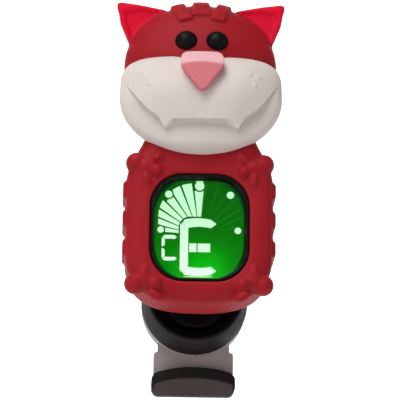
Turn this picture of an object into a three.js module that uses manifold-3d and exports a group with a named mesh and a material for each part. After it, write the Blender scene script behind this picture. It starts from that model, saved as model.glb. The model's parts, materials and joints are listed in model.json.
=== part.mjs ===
// Clip-on tuner: a cat-shaped silicone sleeve over a round-cornered display unit, held on a ball joint
// by a sprung headstock clip.
// Millimetres. +X is to the right of someone facing the display, +Y points away from them, +Z is up.
// The origin is the middle of the front jaw pad's gripping face, which faces +Y.

import * as THREE from 'three';
import { mergeVertices } from 'three/addons/utils/BufferGeometryUtils.js';
import Module from 'manifold-3d';

const wasm = await Module();
wasm.setup();

// ---- Driving dimensions ------------------------------------------------------------------------

const fit = 0.3; // clear space between neighbouring pieces
const beyond = 2; // how far a cutter runs past the face it opens

// clip, front arm
const padThickness = 2; // rubber behind the gripping face
const armThickness = 3;
const armWidth = 16.6;
const waistWidth = 14.9;
const jawGap = 2.2; // between the gripping faces when the jaws are at rest
const jawDrop = 0; // arm tip below the middle of the pad
const shoulderHeight = 6.5;
const shoulderRound = 0.8;
const waistHeight = 8.8;
const handleTop = 42.9;
const gripRadius = 0.5; // raised bars across the handle
const gripPitch = 2;
const bossRadius = 11;
const bossStep = 2; // boss proud of the arm
const earThickness = 1.6;
const earRadius = 2.3;
const pinRadius = 1;
const pinBack = 4.8; // hinge pin behind the gripping face
const pinHeight = 23.9;
const pinHead = 0.7; // head thickness, and how far it stands out all round
const hingeHalfWidth = 6.8; // to the outside of the ears

// clip, front toe
const toeWidth = 17.4;
const toeTop = 3.1;
const toeArch = 2.1; // how far the sides of the toe's upper edge drop
const toeBottom = -2.4;
const toeSkin = 1.8; // rubber in front of the arm
const toeBevel = 3.3;
const toeCorner = 1;

// clip, rear arm
const rearThickness = 2.4;
const rearWidth = 14.4;
const rearPadThickness = 1.7;
const rearJawBottom = -0.6;
const rearPadBottom = -1.2;
const rearBulge = 3.4; // inner face of the rear arm behind the pin
const rearSag = 0.9; // dip of the rear arm's line between its bends
const rearHandleHeight = 45.5;
const rearHandleReach = 19.4;
const rearThroatHeight = 13.5;
const springWire = 0.35;
const springTurns = 4.5;
const springCoilRadius = 1.9;
const springLeg = 12;
const springPitch = 0.84; // coil length for each turn
const springLegShare = 0.08; // each leg's share of the wire
const springRearLean = 4.4; // how far the rear leg's end leans back

// swivel and ball
const swivelHeight = 16.5; // swivel axis above the middle of the pad
const cupDepth = 11.2;
const cupFloorThickness = 1.6;
const cupFrontRadius = 10.1;
const cupBackRadius = 11.1;
const cupLip = 0.8;
const dishDepth = 3; // of the cup's dished front
const collarSetBack = 1.2; // collar's front behind the cup's
const collarRadius = 7.1;
const collarLip = 0.7;
const ballRadius = 4;
const ballBehindRim = 3.8;
const ballMouth = 1.9; // collar's mouth in front of the ball's centre
const seatBehindBall = 3.3; // front of the seat behind the ball's centre
const studRadius = 2;
const studReach = 8.1; // ball centre behind the sleeve's back
const flangeRadius = 3.4;
const flangeThickness = 1.2;
const screwShank = 1.7;
const screwHeadRadius = 3.5;
const screwHeadThickness = 1;
const screwSlot = [5, 0.9, 0.6]; // length, width and depth
const washerThickness = 0.5;

// display unit; places are measured from the middle of the display
const displayRise = 9.5; // middle of the display above the swivel axis
const coreHalfWidth = 12.2;
const coreTop = 16;
const coreBottom = -13.6;
const coreCorner = 8;
const coreWall = 1;
const coreBack = 7.2;
const coverThickness = 1.3;
const windowHalfWidth = 10;
const windowHalfHeight = 11.05;
const windowCorner = 6.7;
const collarWall = 0.7; // black rim inside the sleeve's window
const frontSkin = 1.4; // silicone over the front of the core
const sleeveFront = -8;
const rimSetBack = 0.4;
const housingFace = 0.9;
const lensThickness = 0.9;
const glassThickness = 1.6;
const diffuserThickness = 1.2;
const boardThickness = 0.8;
const boardFront = -0.6;
const boardInset = 1.4;
const partGap = 0.2; // between the board and what is soldered to it
const processorSide = 5;
const processorThickness = 1;
const processorPlace = -2.5;
const crystalRadius = 0.8;
const crystalEnds = [-8.6, -5.5];
const switchSide = 3.4;
const switchThickness = 2.4;
const plungerRadius = 0.8;
const plungerReach = 3.4; // plunger's end behind the board
const connectorWidth = 12;
const connectorThickness = 1;
const lampWidth = 3;
const lampSide = 0.9;
const piezoRadius = 2.7;
const piezoThickness = 0.4;
const nutRadius = 2.75;
const nutThickness = 1.2;
const batteryRadius = 10; // CR2032 coin cell
const batteryThickness = 3.2;
const batteryHeight = 4.3;
const doorRadius = 10.6;
const buttonRadius = 2;
const buttonTravel = 0.5;
const buttonProud = 0.7;
const buttonSide = 6.4;
const coverScrewHead = 1;
const coverScrewShank = 0.55;
const coverScrewSink = 0.7;
const coverScrewReach = 3.4;
const postRadius = 1.5;
const coinSlot = [11, 1.6, 0.7]; // length, width and depth of the door's slot
const contactStrip = 0.4;
const contactWidth = 6;
const leafThickness = 0.3;

// cat
const sleeveBack = 7.4;
const bodyHalfWidth = 14.75;
const bodyBottom = -15.2;
const neckHalfWidth = 10.9;
const neckHeight = 19.2;
const shoulderDrop = 9.2; // where the body starts to draw in, below the neck
const chinHeight = 8.5; // where the body's round bottom ends, above its lowest point
const edgeRound = 2.2;
const headRadii = new THREE.Vector3(15.7, 8.4, 13.3);
const headCentre = new THREE.Vector3(0, -0.8, 34.5);
const stripeProud = 0.6;
const stripeWidth = 3.4;
const stripePitch = 4.8;
const stripeStart = 0.72; // lower ends of the stripes, as a share of the head's height
const ridgeRoot = 2; // from a side ridge's face to its root inside the body
const ridgeHeight = 3.05;
const ridgePitch = 5.93;
const ridgeTop = 8.2; // middle of the highest side ridge
const earTip = new THREE.Vector2(16.9, 48.1);
const earTipRound = 1;
const earInner = new THREE.Vector2(7.4, 46.2);
const earOuter = new THREE.Vector2(14.2, 39);
const earWeb = 1.8;
const muzzleRadii = new THREE.Vector3(16.4, 7.6, 10.1);
const muzzleCentre = new THREE.Vector3(0, -7.2, 24.9);
const muzzleBack = -2.6;
const noseHalfWidth = 4.25;
const noseTop = 34.6;
const noseWide = 32.4;
const noseTip = 26;
const noseRound = 1;
const noseFront = -16.8;
const noseBack = -10.5;
const eyeRadius = 2.15;
const eyeSide = 3.08;
const eyeHeight = 38.3;
const eyeFront = -10.2;
const eyeBack = -6;
const pawLump = 2;
const pawSide = 12.85;
const pawHeights = [13.35, -11.45];
const palmSide = 10.2;
const palmSize = new THREE.Vector3(2.6, 2.2, 2.2);

// ---- Places that follow from the sizes ---------------------------------------------------------

const armBack = -padThickness - fit;
const armFront = armBack - armThickness;
const bossFront = armFront - bossStep;
const cupBack = bossFront - fit;
const cupFront = cupBack - cupDepth;
const ballY = cupFront + ballBehindRim;
const headY = ballY - studReach - sleeveBack;
const headZ = swivelHeight + displayRise;
const earInside = hingeHalfWidth - earThickness;
const lugOutside = earInside - fit;
const springHalfLength = springTurns * springPitch / 2;
const lugInside = springHalfLength + springWire + fit;
const coreFront = sleeveFront + frontSkin + fit;
const rimFront = sleeveFront + rimSetBack;
const glassFront = coreFront + housingFace + fit;
const glassBack = glassFront + glassThickness;
const boardBack = boardFront + boardThickness;
const coverFront = coreBack - coverThickness;
const housingBack = coverFront - fit;
const batteryBack = coverFront - fit;
const batteryFront = batteryBack - batteryThickness;
const coverFace = headY + coreBack;
const plungerEnd = boardBack + plungerReach;
const studHeight = -displayRise;
const coverScrewPlaces = [
  [8.4, coreTop - 2.8],
  [-8.4, coreTop - 2.8],
  [coreHalfWidth - 1.9, coreBottom + coreCorner - 0.4],
  [-(coreHalfWidth - 1.9), coreBottom + coreCorner - 0.4],
];

// ---- Solids and shapes -------------------------------------------------------------------------

// A closed geometry with its doubled vertices joined and its empty triangles dropped.
function weld(geometry) {
  const plain = geometry.clone();
  plain.deleteAttribute('normal');
  plain.deleteAttribute('uv');
  const merged = mergeVertices(plain, 1e-4);
  const index = [];
  for (let i = 0; i < merged.index.count; i += 3) {
    const [a, b, c] = [0, 1, 2].map((k) => merged.index.getX(i + k));
    if (a !== b && b !== c && c !== a) index.push(a, b, c);
  }
  merged.setIndex(index);
  return merged;
}

function solid(geometry) {
  const closed = weld(geometry);
  return new wasm.Manifold(new wasm.Mesh({
    numProp: 3,
    vertProperties: new Float32Array(closed.attributes.position.array),
    triVerts: new Uint32Array(closed.index.array),
  }));
}

function geometryOf(body) {
  const mesh = body.getMesh();
  const geometry = new THREE.BufferGeometry();
  geometry.setAttribute('position', new THREE.BufferAttribute(new Float32Array(mesh.vertProperties), 3));
  geometry.setIndex(new THREE.BufferAttribute(new Uint32Array(mesh.triVerts), 1));
  return geometry;
}

const join = (first, ...others) => others.reduce((sum, next) => sum.add(next), first);
const cut = (first, ...others) => others.reduce((rest, next) => rest.subtract(next), first);

// A shape drawn in X and Z, as thick as the way from one Y to another.
function slab(shape, fromY, toY, segments = 6, round = 0) {
  const depth = toY - fromY - 2 * round;
  const geometry = new THREE.ExtrudeGeometry(shape, {
    depth,
    curveSegments: segments,
    bevelEnabled: round > 0,
    bevelThickness: round,
    bevelSize: round,
    bevelOffset: -round,
    bevelSegments: 2,
  });
  geometry.rotateX(Math.PI / 2);
  geometry.translate(0, toY - round, 0);
  return geometry;
}

// A shape drawn in Y and Z, as wide as the way from one X to another.
function sidewaysSlab(shape, fromX, toX, segments = 8) {
  const geometry = new THREE.ExtrudeGeometry(shape, {
    depth: toX - fromX,
    curveSegments: segments,
    bevelEnabled: false,
  });
  const turn = new THREE.Matrix4().makeBasis(
    new THREE.Vector3(0, 1, 0),
    new THREE.Vector3(0, 0, 1),
    new THREE.Vector3(1, 0, 0),
  );
  geometry.applyMatrix4(turn);
  geometry.translate(fromX, 0, 0);
  return geometry;
}

// A turned piece about a line along Y: radius and Y pairs that start and end on the axis or close.
// The pairs may run either way round.
function turned(profile, z, segments = 28, x = 0) {
  const points = profile.map(([radius, y]) => new THREE.Vector2(radius, y));
  if (THREE.ShapeUtils.area(points) < 0) points.reverse();
  const geometry = new THREE.LatheGeometry(points, segments);
  geometry.translate(x, 0, z);
  return geometry;
}

function cylinderAlongY(radius, fromY, toY, z, segments = 20, x = 0) {
  const geometry = new THREE.CylinderGeometry(radius, radius, toY - fromY, segments);
  geometry.translate(x, (fromY + toY) / 2, z);
  return geometry;
}

function cylinderAlongX(radius, fromX, toX, y, z, segments = 16) {
  const geometry = new THREE.CylinderGeometry(radius, radius, toX - fromX, segments);
  geometry.rotateZ(Math.PI / 2);
  geometry.translate((fromX + toX) / 2, y, z);
  return geometry;
}

function block(x, fromY, toY, z, width, height) {
  const geometry = new THREE.BoxGeometry(width, toY - fromY, height);
  geometry.translate(x, (fromY + toY) / 2, z);
  return geometry;
}

function ellipsoid(centre, radii, across = 24, down = 16) {
  const geometry = new THREE.SphereGeometry(1, across, down);
  geometry.scale(radii.x, radii.y, radii.z);
  geometry.translate(centre.x, centre.y, centre.z);
  return geometry;
}

// A rectangle with round corners in X and Z.
function roundRectangle(halfWidth, bottom, top, corner) {
  const shape = new THREE.Shape();
  shape.moveTo(-halfWidth + corner, bottom);
  shape.lineTo(halfWidth - corner, bottom);
  shape.absarc(halfWidth - corner, bottom + corner, corner, -Math.PI / 2, 0);
  shape.lineTo(halfWidth, top - corner);
  shape.absarc(halfWidth - corner, top - corner, corner, 0, Math.PI / 2);
  shape.lineTo(-halfWidth + corner, top);
  shape.absarc(-halfWidth + corner, top - corner, corner, Math.PI / 2, Math.PI);
  shape.lineTo(-halfWidth, bottom + corner);
  shape.absarc(-halfWidth + corner, bottom + corner, corner, Math.PI, Math.PI * 1.5);
  return shape;
}

// A band of even thickness along a smooth line in Y and Z.
function band(places, thickness, steps = 22) {
  const line = new THREE.SplineCurve(places.map(([y, z]) => new THREE.Vector2(y, z)));
  const sides = [[], []];
  for (let i = 0; i <= steps; i += 1) {
    const at = line.getPoint(i / steps);
    const along = line.getTangent(i / steps);
    const across = new THREE.Vector2(-along.y, along.x).multiplyScalar(thickness / 2);
    sides[0].push(at.clone().add(across));
    sides[1].unshift(at.clone().sub(across));
  }
  return new THREE.Shape([...sides[0], ...sides[1]]);
}

const coreOutline = (inset) => roundRectangle(
  coreHalfWidth - inset,
  coreBottom + inset,
  coreTop - inset,
  Math.max(coreCorner - inset, 0.5),
);

const windowOutline = (inset) => roundRectangle(
  windowHalfWidth - inset,
  -windowHalfHeight + inset,
  windowHalfHeight - inset,
  Math.max(windowCorner - inset, 0.5),
);

// ---- Clip --------------------------------------------------------------------------------------

function frontArmOutline() {
  const half = armWidth / 2;
  const waist = waistWidth / 2;
  const shoulder = shoulderRound;
  const shape = new THREE.Shape();
  shape.moveTo(-half, -jawDrop);
  shape.lineTo(half, -jawDrop);
  shape.lineTo(half, shoulderHeight - shoulder);
  shape.quadraticCurveTo(half, shoulderHeight, half - shoulder, shoulderHeight);
  shape.quadraticCurveTo(waist, shoulderHeight + shoulder, waist, waistHeight);
  shape.lineTo(waist, handleTop - waist / 2);
  shape.quadraticCurveTo(waist, handleTop, waist / 2, handleTop);
  shape.lineTo(-waist / 2, handleTop);
  shape.quadraticCurveTo(-waist, handleTop, -waist, handleTop - waist / 2);
  shape.lineTo(-waist, waistHeight);
  shape.quadraticCurveTo(-waist, shoulderHeight + shoulder, shoulder - half, shoulderHeight);
  shape.quadraticCurveTo(-half, shoulderHeight, -half, shoulderHeight - shoulder);
  return shape;
}

// One hinge ear in Y and Z: rooted in the arm, round about the pin.
function earShape() {
  const root = armBack - armThickness / 2;
  const shape = new THREE.Shape();
  shape.moveTo(root, pinHeight - 2 * earRadius);
  shape.lineTo(pinBack, pinHeight - earRadius);
  shape.absarc(pinBack, pinHeight, earRadius, -Math.PI / 2, Math.PI / 2);
  shape.lineTo(root, pinHeight + 2 * earRadius);
  return shape;
}

function makeFrontArm() {
  const plate = solid(slab(frontArmOutline(), armFront, armBack, 6));
  const boss = solid(cylinderAlongY(bossRadius, bossFront, armBack, swivelHeight, 36));
  const ears = [-1, 1].map((side) => solid(sidewaysSlab(
    earShape(),
    Math.min(side * earInside, side * hingeHalfWidth),
    Math.max(side * earInside, side * hingeHalfWidth),
    6,
  )));
  const gripReach = waistWidth / 2 - gripPitch;
  const grips = [0, 1, 2].map((i) => solid(
    cylinderAlongX(gripRadius, -gripReach, gripReach, armFront, handleTop - (2 + i) * gripPitch, 8),
  ));
  const pinHole = solid(cylinderAlongX(pinRadius + fit, -armWidth, armWidth, pinBack, pinHeight));
  const shankHole = solid(
    cylinderAlongY(screwShank + fit, bossFront - beyond, armBack + beyond, swivelHeight),
  );
  return cut(join(plate, boss, ...ears, ...grips), pinHole, shankHole);
}

// The toe's side view: rubber before, under and behind the tip of the arm, sloped below the front.
function makeFrontJawPad() {
  const front = armFront - fit - toeSkin;
  const side = new THREE.Shape();
  side.moveTo(front, toeTop);
  side.lineTo(front, toeBottom + toeBevel);
  side.lineTo(front + toeBevel, toeBottom);
  side.lineTo(-toeCorner, toeBottom);
  side.lineTo(0, toeBottom + toeCorner);
  side.lineTo(0, toeTop);
  side.lineTo(armBack + fit, toeTop);
  side.lineTo(armBack + fit, -jawDrop - fit);
  side.lineTo(armFront - fit, -jawDrop - fit);
  side.lineTo(armFront - fit, toeTop);
  const half = toeWidth / 2;
  const face = new THREE.Shape();
  face.moveTo(toeCorner - half, toeBottom);
  face.lineTo(half - toeCorner, toeBottom);
  face.quadraticCurveTo(half, toeBottom, half, toeBottom + toeCorner);
  face.lineTo(half, toeTop - toeArch);
  face.quadraticCurveTo(half / 2, toeTop, 0, toeTop);
  face.quadraticCurveTo(-half / 2, toeTop, -half, toeTop - toeArch);
  face.lineTo(-half, toeBottom + toeCorner);
  face.quadraticCurveTo(-half, toeBottom, toeCorner - half, toeBottom);
  const long = solid(sidewaysSlab(side, -half, half));
  return long.intersect(solid(slab(face, front - beyond, beyond, 6)));
}

function makeRearArm() {
  const tipY = jawGap + rearPadThickness + fit + rearThickness / 2;
  const backY = pinBack + rearBulge + rearThickness / 2;
  const spine = [
    [tipY, rearJawBottom],
    [tipY, toeTop - fit],
    [backY - rearSag, rearThroatHeight * 0.7],
    [backY, rearThroatHeight],
    [backY, pinHeight],
    [(backY + rearHandleReach) / 2 - rearSag, (pinHeight + rearHandleHeight) / 2],
    [rearHandleReach, rearHandleHeight],
  ];
  const half = rearWidth / 2;
  const plate = solid(sidewaysSlab(band(spine, rearThickness), -half, half));
  const lugShape = new THREE.Shape();
  lugShape.moveTo(backY, pinHeight - 2 * earRadius);
  lugShape.lineTo(backY, pinHeight + 2 * earRadius);
  lugShape.lineTo(pinBack, pinHeight + earRadius);
  lugShape.absarc(pinBack, pinHeight, earRadius, Math.PI / 2, Math.PI * 1.5);
  const lugs = [-1, 1].map((side) => solid(sidewaysSlab(
    lugShape,
    Math.min(side * lugInside, side * lugOutside),
    Math.max(side * lugInside, side * lugOutside),
    6,
  )));
  const pinHole = solid(cylinderAlongX(pinRadius + fit, -armWidth, armWidth, pinBack, pinHeight));
  return cut(join(plate, ...lugs), pinHole);
}

function makeRearJawPad() {
  const half = rearWidth / 2;
  const shape = roundRectangle(half, rearPadBottom, toeTop - toeCorner, toeCorner);
  return solid(slab(shape, jawGap, jawGap + rearPadThickness, 3));
}

function makeHingePin() {
  const reach = hingeHalfWidth + fit;
  const shank = solid(cylinderAlongX(pinRadius, -reach - fit, reach + fit, pinBack, pinHeight));
  const heads = [-1, 1].map((side) => solid(cylinderAlongX(
    pinRadius + pinHead,
    Math.min(side * reach, side * (reach + pinHead)),
    Math.max(side * reach, side * (reach + pinHead)),
    pinBack,
    pinHeight,
  )));
  return join(shank, ...heads);
}

// The torsion spring's wire: a leg up the front arm, the coil about the pin, a leg up the rear arm.
class SpringWire extends THREE.Curve {
  getPoint(t, target = new THREE.Vector3()) {
    const start = Math.PI;
    const sweep = springTurns * Math.PI * 2;
    const coil = Math.min(Math.max((t - springLegShare) / (1 - 2 * springLegShare), 0), 1);
    const angle = start + sweep * coil;
    const frontLean = pinBack - springCoilRadius - (armBack + fit + springWire);
    target.set(
      springHalfLength * (2 * coil - 1),
      pinBack + springCoilRadius * Math.cos(angle),
      pinHeight + springCoilRadius * Math.sin(angle),
    );
    const before = Math.max(springLegShare - t, 0) / springLegShare;
    const after = Math.max(t - 1 + springLegShare, 0) / springLegShare;
    target.z += springLeg * (before + after);
    target.y += after * springRearLean - before * frontLean;
    return target;
  }
}

function makeTorsionSpring() {
  const section = new THREE.Shape();
  section.absarc(0, 0, springWire, 0, Math.PI * 2);
  return weld(new THREE.ExtrudeGeometry(section, {
    steps: 56,
    curveSegments: 3,
    bevelEnabled: false,
    extrudePath: new SpringWire(),
  }));
}

// ---- Swivel and ball ---------------------------------------------------------------------------

const boreRadius = collarRadius + fit;
const collarFront = cupFront + collarSetBack;
const seatFront = ballY + seatBehindBall;
const cupFloor = cupBack - cupFloorThickness;
const seatSphere = ballRadius + fit;

// Radius of the ball's clearance sphere at a Y.
const seatRadiusAt = (y) => Math.sqrt(Math.max(seatSphere ** 2 - (y - ballY) ** 2, 0));

// The ball's clearance sphere from one Y to another, as profile points.
function seatArc(fromY, toY, steps = 4) {
  const points = [];
  for (let i = 0; i <= steps; i += 1) {
    const y = fromY + (toY - fromY) * i / steps;
    points.push([seatRadiusAt(y), y]);
  }
  return points;
}

function makeSwivelCup() {
  const body = solid(turned([
    [0, cupBack],
    [cupBackRadius - cupLip / 2, cupBack],
    [cupBackRadius, cupBack - cupLip / 2],
    [cupFrontRadius, cupFront + cupLip / 2],
    [cupFrontRadius - cupLip / 2, cupFront],
    [cupFrontRadius - cupLip, cupFront + cupLip / 4],
    [boreRadius + cupLip, cupFront + dishDepth - cupLip / 2],
    [boreRadius, cupFront + dishDepth],
    [boreRadius, cupFloor],
    [0, cupFloor],
  ], swivelHeight, 36));
  const shankHole = solid(
    cylinderAlongY(screwShank + fit, cupFloor - beyond, cupBack + beyond, swivelHeight),
  );
  return cut(body, shankHole);
}

function makeSocketCollar() {
  const mouthY = ballY - ballMouth;
  const back = seatFront - fit;
  const profile = [
    [collarRadius, collarFront],
    [collarRadius - collarLip, collarFront],
    ...seatArc(mouthY, ballY),
    [seatSphere, back],
    [collarRadius, back],
    [collarRadius, collarFront],
  ];
  return solid(turned(profile, swivelHeight));
}

function makeBallSeat() {
  const back = cupFloor - fit;
  const profile = [
    [0, back],
    [collarRadius, back],
    [collarRadius, seatFront],
    ...seatArc(seatFront, ballY + seatSphere),
  ];
  return solid(turned(profile, swivelHeight));
}

function makeSwivelScrew() {
  const headFront = armBack + fit + washerThickness + fit;
  const shank = cylinderAlongY(screwShank, cupFloor + fit, headFront + fit, swivelHeight);
  const head = cylinderAlongY(screwHeadRadius, headFront, headFront + screwHeadThickness, swivelHeight, 32);
  const [long, wide, deep] = screwSlot;
  const slotFloor = headFront + screwHeadThickness - deep;
  const slot = block(0, slotFloor, headFront + beyond, swivelHeight, long, wide);
  return cut(join(solid(head), solid(shank)), solid(slot));
}

function makeSwivelWasher() {
  const front = armBack + fit;
  const radius = screwHeadRadius + washerThickness;
  const ring = cylinderAlongY(radius, front, front + washerThickness, swivelHeight, 32);
  const hole = cylinderAlongY(screwShank + fit, front - beyond, front + beyond, swivelHeight);
  return cut(solid(ring), solid(hole));
}

function makeBallStud() {
  const flangeBack = coverFace + fit + flangeThickness;
  const ball = new THREE.Vector3(0, ballY, swivelHeight);
  const radii = new THREE.Vector3(ballRadius, ballRadius, ballRadius);
  const stemEnd = coverFace - coverThickness - nutThickness - fit;
  const stem = cylinderAlongY(studRadius, stemEnd, ballY, swivelHeight);
  const flange = cylinderAlongY(flangeRadius, coverFace + fit, flangeBack, swivelHeight, 32);
  return join(solid(ellipsoid(ball, radii, 20, 12)), solid(stem), solid(flange));
}

// ---- Display unit ------------------------------------------------------------------------------

function makeFrontHousing() {
  const shell = solid(slab(coreOutline(0), coreFront, housingBack));
  const hollow = solid(slab(coreOutline(coreWall), coreFront + housingFace, housingBack + beyond));
  const rim = solid(slab(windowOutline(fit), rimFront, coreFront + housingFace / 2));
  const opening = solid(slab(windowOutline(fit + collarWall), rimFront - beyond, glassFront));
  const inside = solid(slab(coreOutline(coreWall / 2), coreFront, housingBack));
  const posts = coverScrewPlaces.map(([x, z]) => solid(
    cylinderAlongY(postRadius, boardBack + fit, housingBack, z, 16, x),
  ).intersect(inside));
  const pilotFloor = housingBack - coverScrewReach - fit;
  const pilots = coverScrewPlaces.map(([x, z]) => solid(
    cylinderAlongY(coverScrewShank + fit, pilotFloor, housingBack + beyond, z, 12, x),
  ));
  return cut(join(cut(shell, hollow), rim, ...posts), opening, ...pilots);
}

function makeRearCover() {
  const plate = solid(slab(coreOutline(0), coverFront, coreBack));
  const through = (radius, x, z, segments = 24) => solid(
    cylinderAlongY(radius, coverFront - beyond, coreBack + beyond, z, segments, x),
  );
  const sinks = coverScrewPlaces.map(([x, z]) => solid(
    cylinderAlongY(coverScrewHead + fit, coreBack - coverScrewSink, coreBack + beyond, z, 16, x),
  ));
  const holes = coverScrewPlaces.map(([x, z]) => through(coverScrewShank + fit, x, z, 12));
  return cut(
    plate,
    through(doorRadius + fit, 0, batteryHeight, 36),
    through(studRadius + fit, 0, studHeight),
    through(buttonRadius + fit, buttonSide, studHeight),
    ...sinks,
    ...holes,
  );
}

function makeBatteryDoor() {
  const disc = solid(cylinderAlongY(doorRadius, coverFront + partGap, coreBack, batteryHeight, 36));
  const [long, wide, deep] = coinSlot;
  const slot = solid(block(0, coreBack - deep, coreBack + beyond, batteryHeight, long, wide));
  return cut(disc, slot);
}

const lensBack = glassFront - fit;
const makeDisplayLens = () => weld(
  slab(windowOutline(2 * fit + collarWall), lensBack - lensThickness, lensBack),
);

const glassInset = coreWall + 0.8;
const glassHalfHeight = windowHalfHeight + 0.2;

function makeLcdPanel() {
  return weld(slab(
    roundRectangle(coreHalfWidth - glassInset, -glassHalfHeight, glassHalfHeight, windowCorner),
    glassFront,
    glassBack,
  ));
}

const diffuserInset = 1.4; // leaves room for the lamp below and the connector above
const diffuserBottom = diffuserInset - windowHalfHeight;
const diffuserTop = windowHalfHeight - diffuserInset;

function makeDiffuser() {
  const half = coreHalfWidth - glassInset - 2 * fit;
  const front = glassBack + fit;
  return weld(slab(
    roundRectangle(half, diffuserBottom, diffuserTop, windowCorner - diffuserInset),
    front,
    front + diffuserThickness,
  ));
}

function makeDisplayConnector() {
  const height = diffuserTop + fit + connectorThickness / 2;
  return block(0, glassBack + fit, boardFront - fit, height, connectorWidth, connectorThickness);
}

function makeBacklightLed() {
  const height = diffuserBottom - fit - lampSide / 2;
  return block(0, glassBack + fit, boardFront - fit, height, lampWidth, lampSide);
}

function makeCircuitBoard() {
  return weld(slab(coreOutline(boardInset), boardFront, boardBack));
}

function makeProcessor() {
  const front = boardBack + partGap;
  const side = processorSide;
  return block(processorPlace, front, front + processorThickness, studHeight, side, side);
}

function makeCrystal() {
  const [left, right] = crystalEnds;
  const middle = boardBack + partGap + crystalRadius;
  return weld(cylinderAlongX(crystalRadius, left, right, middle, studHeight + crystalRadius, 12));
}

function makeTactSwitch() {
  const back = boardBack + switchThickness;
  const body = block(buttonSide, boardBack + partGap, back, studHeight, switchSide, switchSide);
  const plunger = cylinderAlongY(plungerRadius, back - partGap, plungerEnd, studHeight, 12, buttonSide);
  return join(solid(body), solid(plunger));
}

function makePowerButton() {
  const front = plungerEnd + buttonTravel + partGap;
  const back = coreBack + buttonProud;
  const cap = cylinderAlongY(buttonRadius, coverFront, back, studHeight, 24, buttonSide);
  const stem = cylinderAlongY(buttonRadius / 2, front, coverFront + partGap, studHeight, 16, buttonSide);
  return join(solid(cap), solid(stem));
}

function makePiezoDisc() {
  const front = boardBack + partGap + processorThickness + fit;
  return weld(cylinderAlongY(piezoRadius, front, front + piezoThickness, studHeight, 24));
}

function makeStudNut() {
  const back = coverFront - fit;
  const nut = solid(cylinderAlongY(nutRadius, back - nutThickness, back, studHeight));
  const hole = solid(cylinderAlongY(studRadius + fit, back - beyond, back + beyond, studHeight));
  return cut(nut, hole);
}

function makeBattery() {
  const chamfer = 0.3;
  return weld(turned([
    [0, batteryFront],
    [batteryRadius - 1.6, batteryFront],
    [batteryRadius - chamfer, batteryFront + chamfer],
    [batteryRadius, batteryFront + 2 * chamfer],
    [batteryRadius, batteryBack - chamfer],
    [batteryRadius - chamfer, batteryBack],
    [0, batteryBack],
  ], batteryHeight));
}

function makePositiveContact() {
  const x = batteryRadius + fit + contactStrip / 2;
  const front = boardBack + partGap;
  const back = front + contactStrip;
  const strip = block(x, front, batteryBack, batteryHeight, contactStrip, contactWidth);
  const foot = block(x - 1, front, back, batteryHeight, 2 + contactStrip, contactWidth);
  return join(solid(strip), solid(foot));
}

function makeNegativeContact() {
  const back = batteryFront - fit;
  const leaf = block(0, back - leafThickness, back, batteryHeight, 8, contactWidth);
  const foot = block(-4, boardBack + partGap, back, batteryHeight, 2 * leafThickness, contactWidth);
  return join(solid(leaf), solid(foot));
}

function makeCoverScrew([x, z]) {
  const headFront = coreBack - coverScrewSink + partGap;
  const headBack = headFront + coverScrewHead / 2;
  const middle = (headFront + headBack) / 2;
  const head = cylinderAlongY(coverScrewHead, headFront, headBack, z, 16, x);
  const shank = cylinderAlongY(coverScrewShank, housingBack - coverScrewReach, middle, z, 12, x);
  const long = 1.3 * coverScrewHead;
  const wide = 0.3 * coverScrewHead;
  const slots = [[long, wide], [wide, long]].map(([width, height]) => solid(
    block(x, middle, headBack + beyond, z, width, height),
  ));
  return cut(join(solid(head), solid(shank)), ...slots);
}

// ---- Cat ---------------------------------------------------------------------------------------

function bodyOutline() {
  const shape = new THREE.Shape();
  const half = bodyHalfWidth;
  const shoulder = neckHeight - shoulderDrop;
  const side = bodyBottom + chinHeight;
  shape.moveTo(0, bodyBottom);
  shape.bezierCurveTo(half * 0.6, bodyBottom, half, bodyBottom + chinHeight / 4, half, side);
  shape.lineTo(half, shoulder);
  const pull = shoulderDrop / 2;
  const neck = neckHalfWidth;
  shape.bezierCurveTo(half, shoulder + pull, neck, neckHeight - pull / 2, neck, neckHeight);
  shape.lineTo(neck, headCentre.z - headRadii.z / 2);
  shape.lineTo(-neck, headCentre.z - headRadii.z / 2);
  shape.lineTo(-neck, neckHeight);
  shape.bezierCurveTo(-neck, neckHeight - pull / 2, -half, shoulder + pull, -half, shoulder);
  shape.lineTo(-half, side);
  shape.bezierCurveTo(-half, bodyBottom + chinHeight / 4, -half * 0.6, bodyBottom, 0, bodyBottom);
  return shape;
}

function headSolid(grow = 0) {
  const radii = headRadii.clone().addScalar(grow);
  return solid(ellipsoid(headCentre, radii, 26, 16));
}

// The forehead's three raised stripes, fanned from the middle of the head.
function headStripes() {
  const proud = headSolid(stripeProud);
  const fan = stripePitch / headRadii.z;
  return [-1, 0, 1].map((place) => {
    const length = headRadii.z + 2 * stripeProud;
    const bar = new THREE.BoxGeometry(stripeWidth, 4 * headRadii.y, length);
    bar.translate(0, 0, headRadii.z * stripeStart + length / 2);
    bar.rotateY(place * fan);
    bar.translate(headCentre.x, headCentre.y, headCentre.z);
    return proud.intersect(solid(bar));
  });
}

function ear(side) {
  const shape = new THREE.Shape();
  const tip = earTipRound;
  shape.moveTo(side * earInner.x, earInner.y);
  shape.lineTo(side * (earTip.x - 2 * tip), earTip.y);
  shape.quadraticCurveTo(side * earTip.x, earTip.y, side * earTip.x, earTip.y - 2 * tip);
  shape.lineTo(side * earOuter.x, earOuter.y);
  shape.lineTo(side * earInner.x * 0.6, earOuter.y);
  return solid(slab(shape, headCentre.y - earWeb / 2, headCentre.y + earWeb / 2, 4));
}

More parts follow.
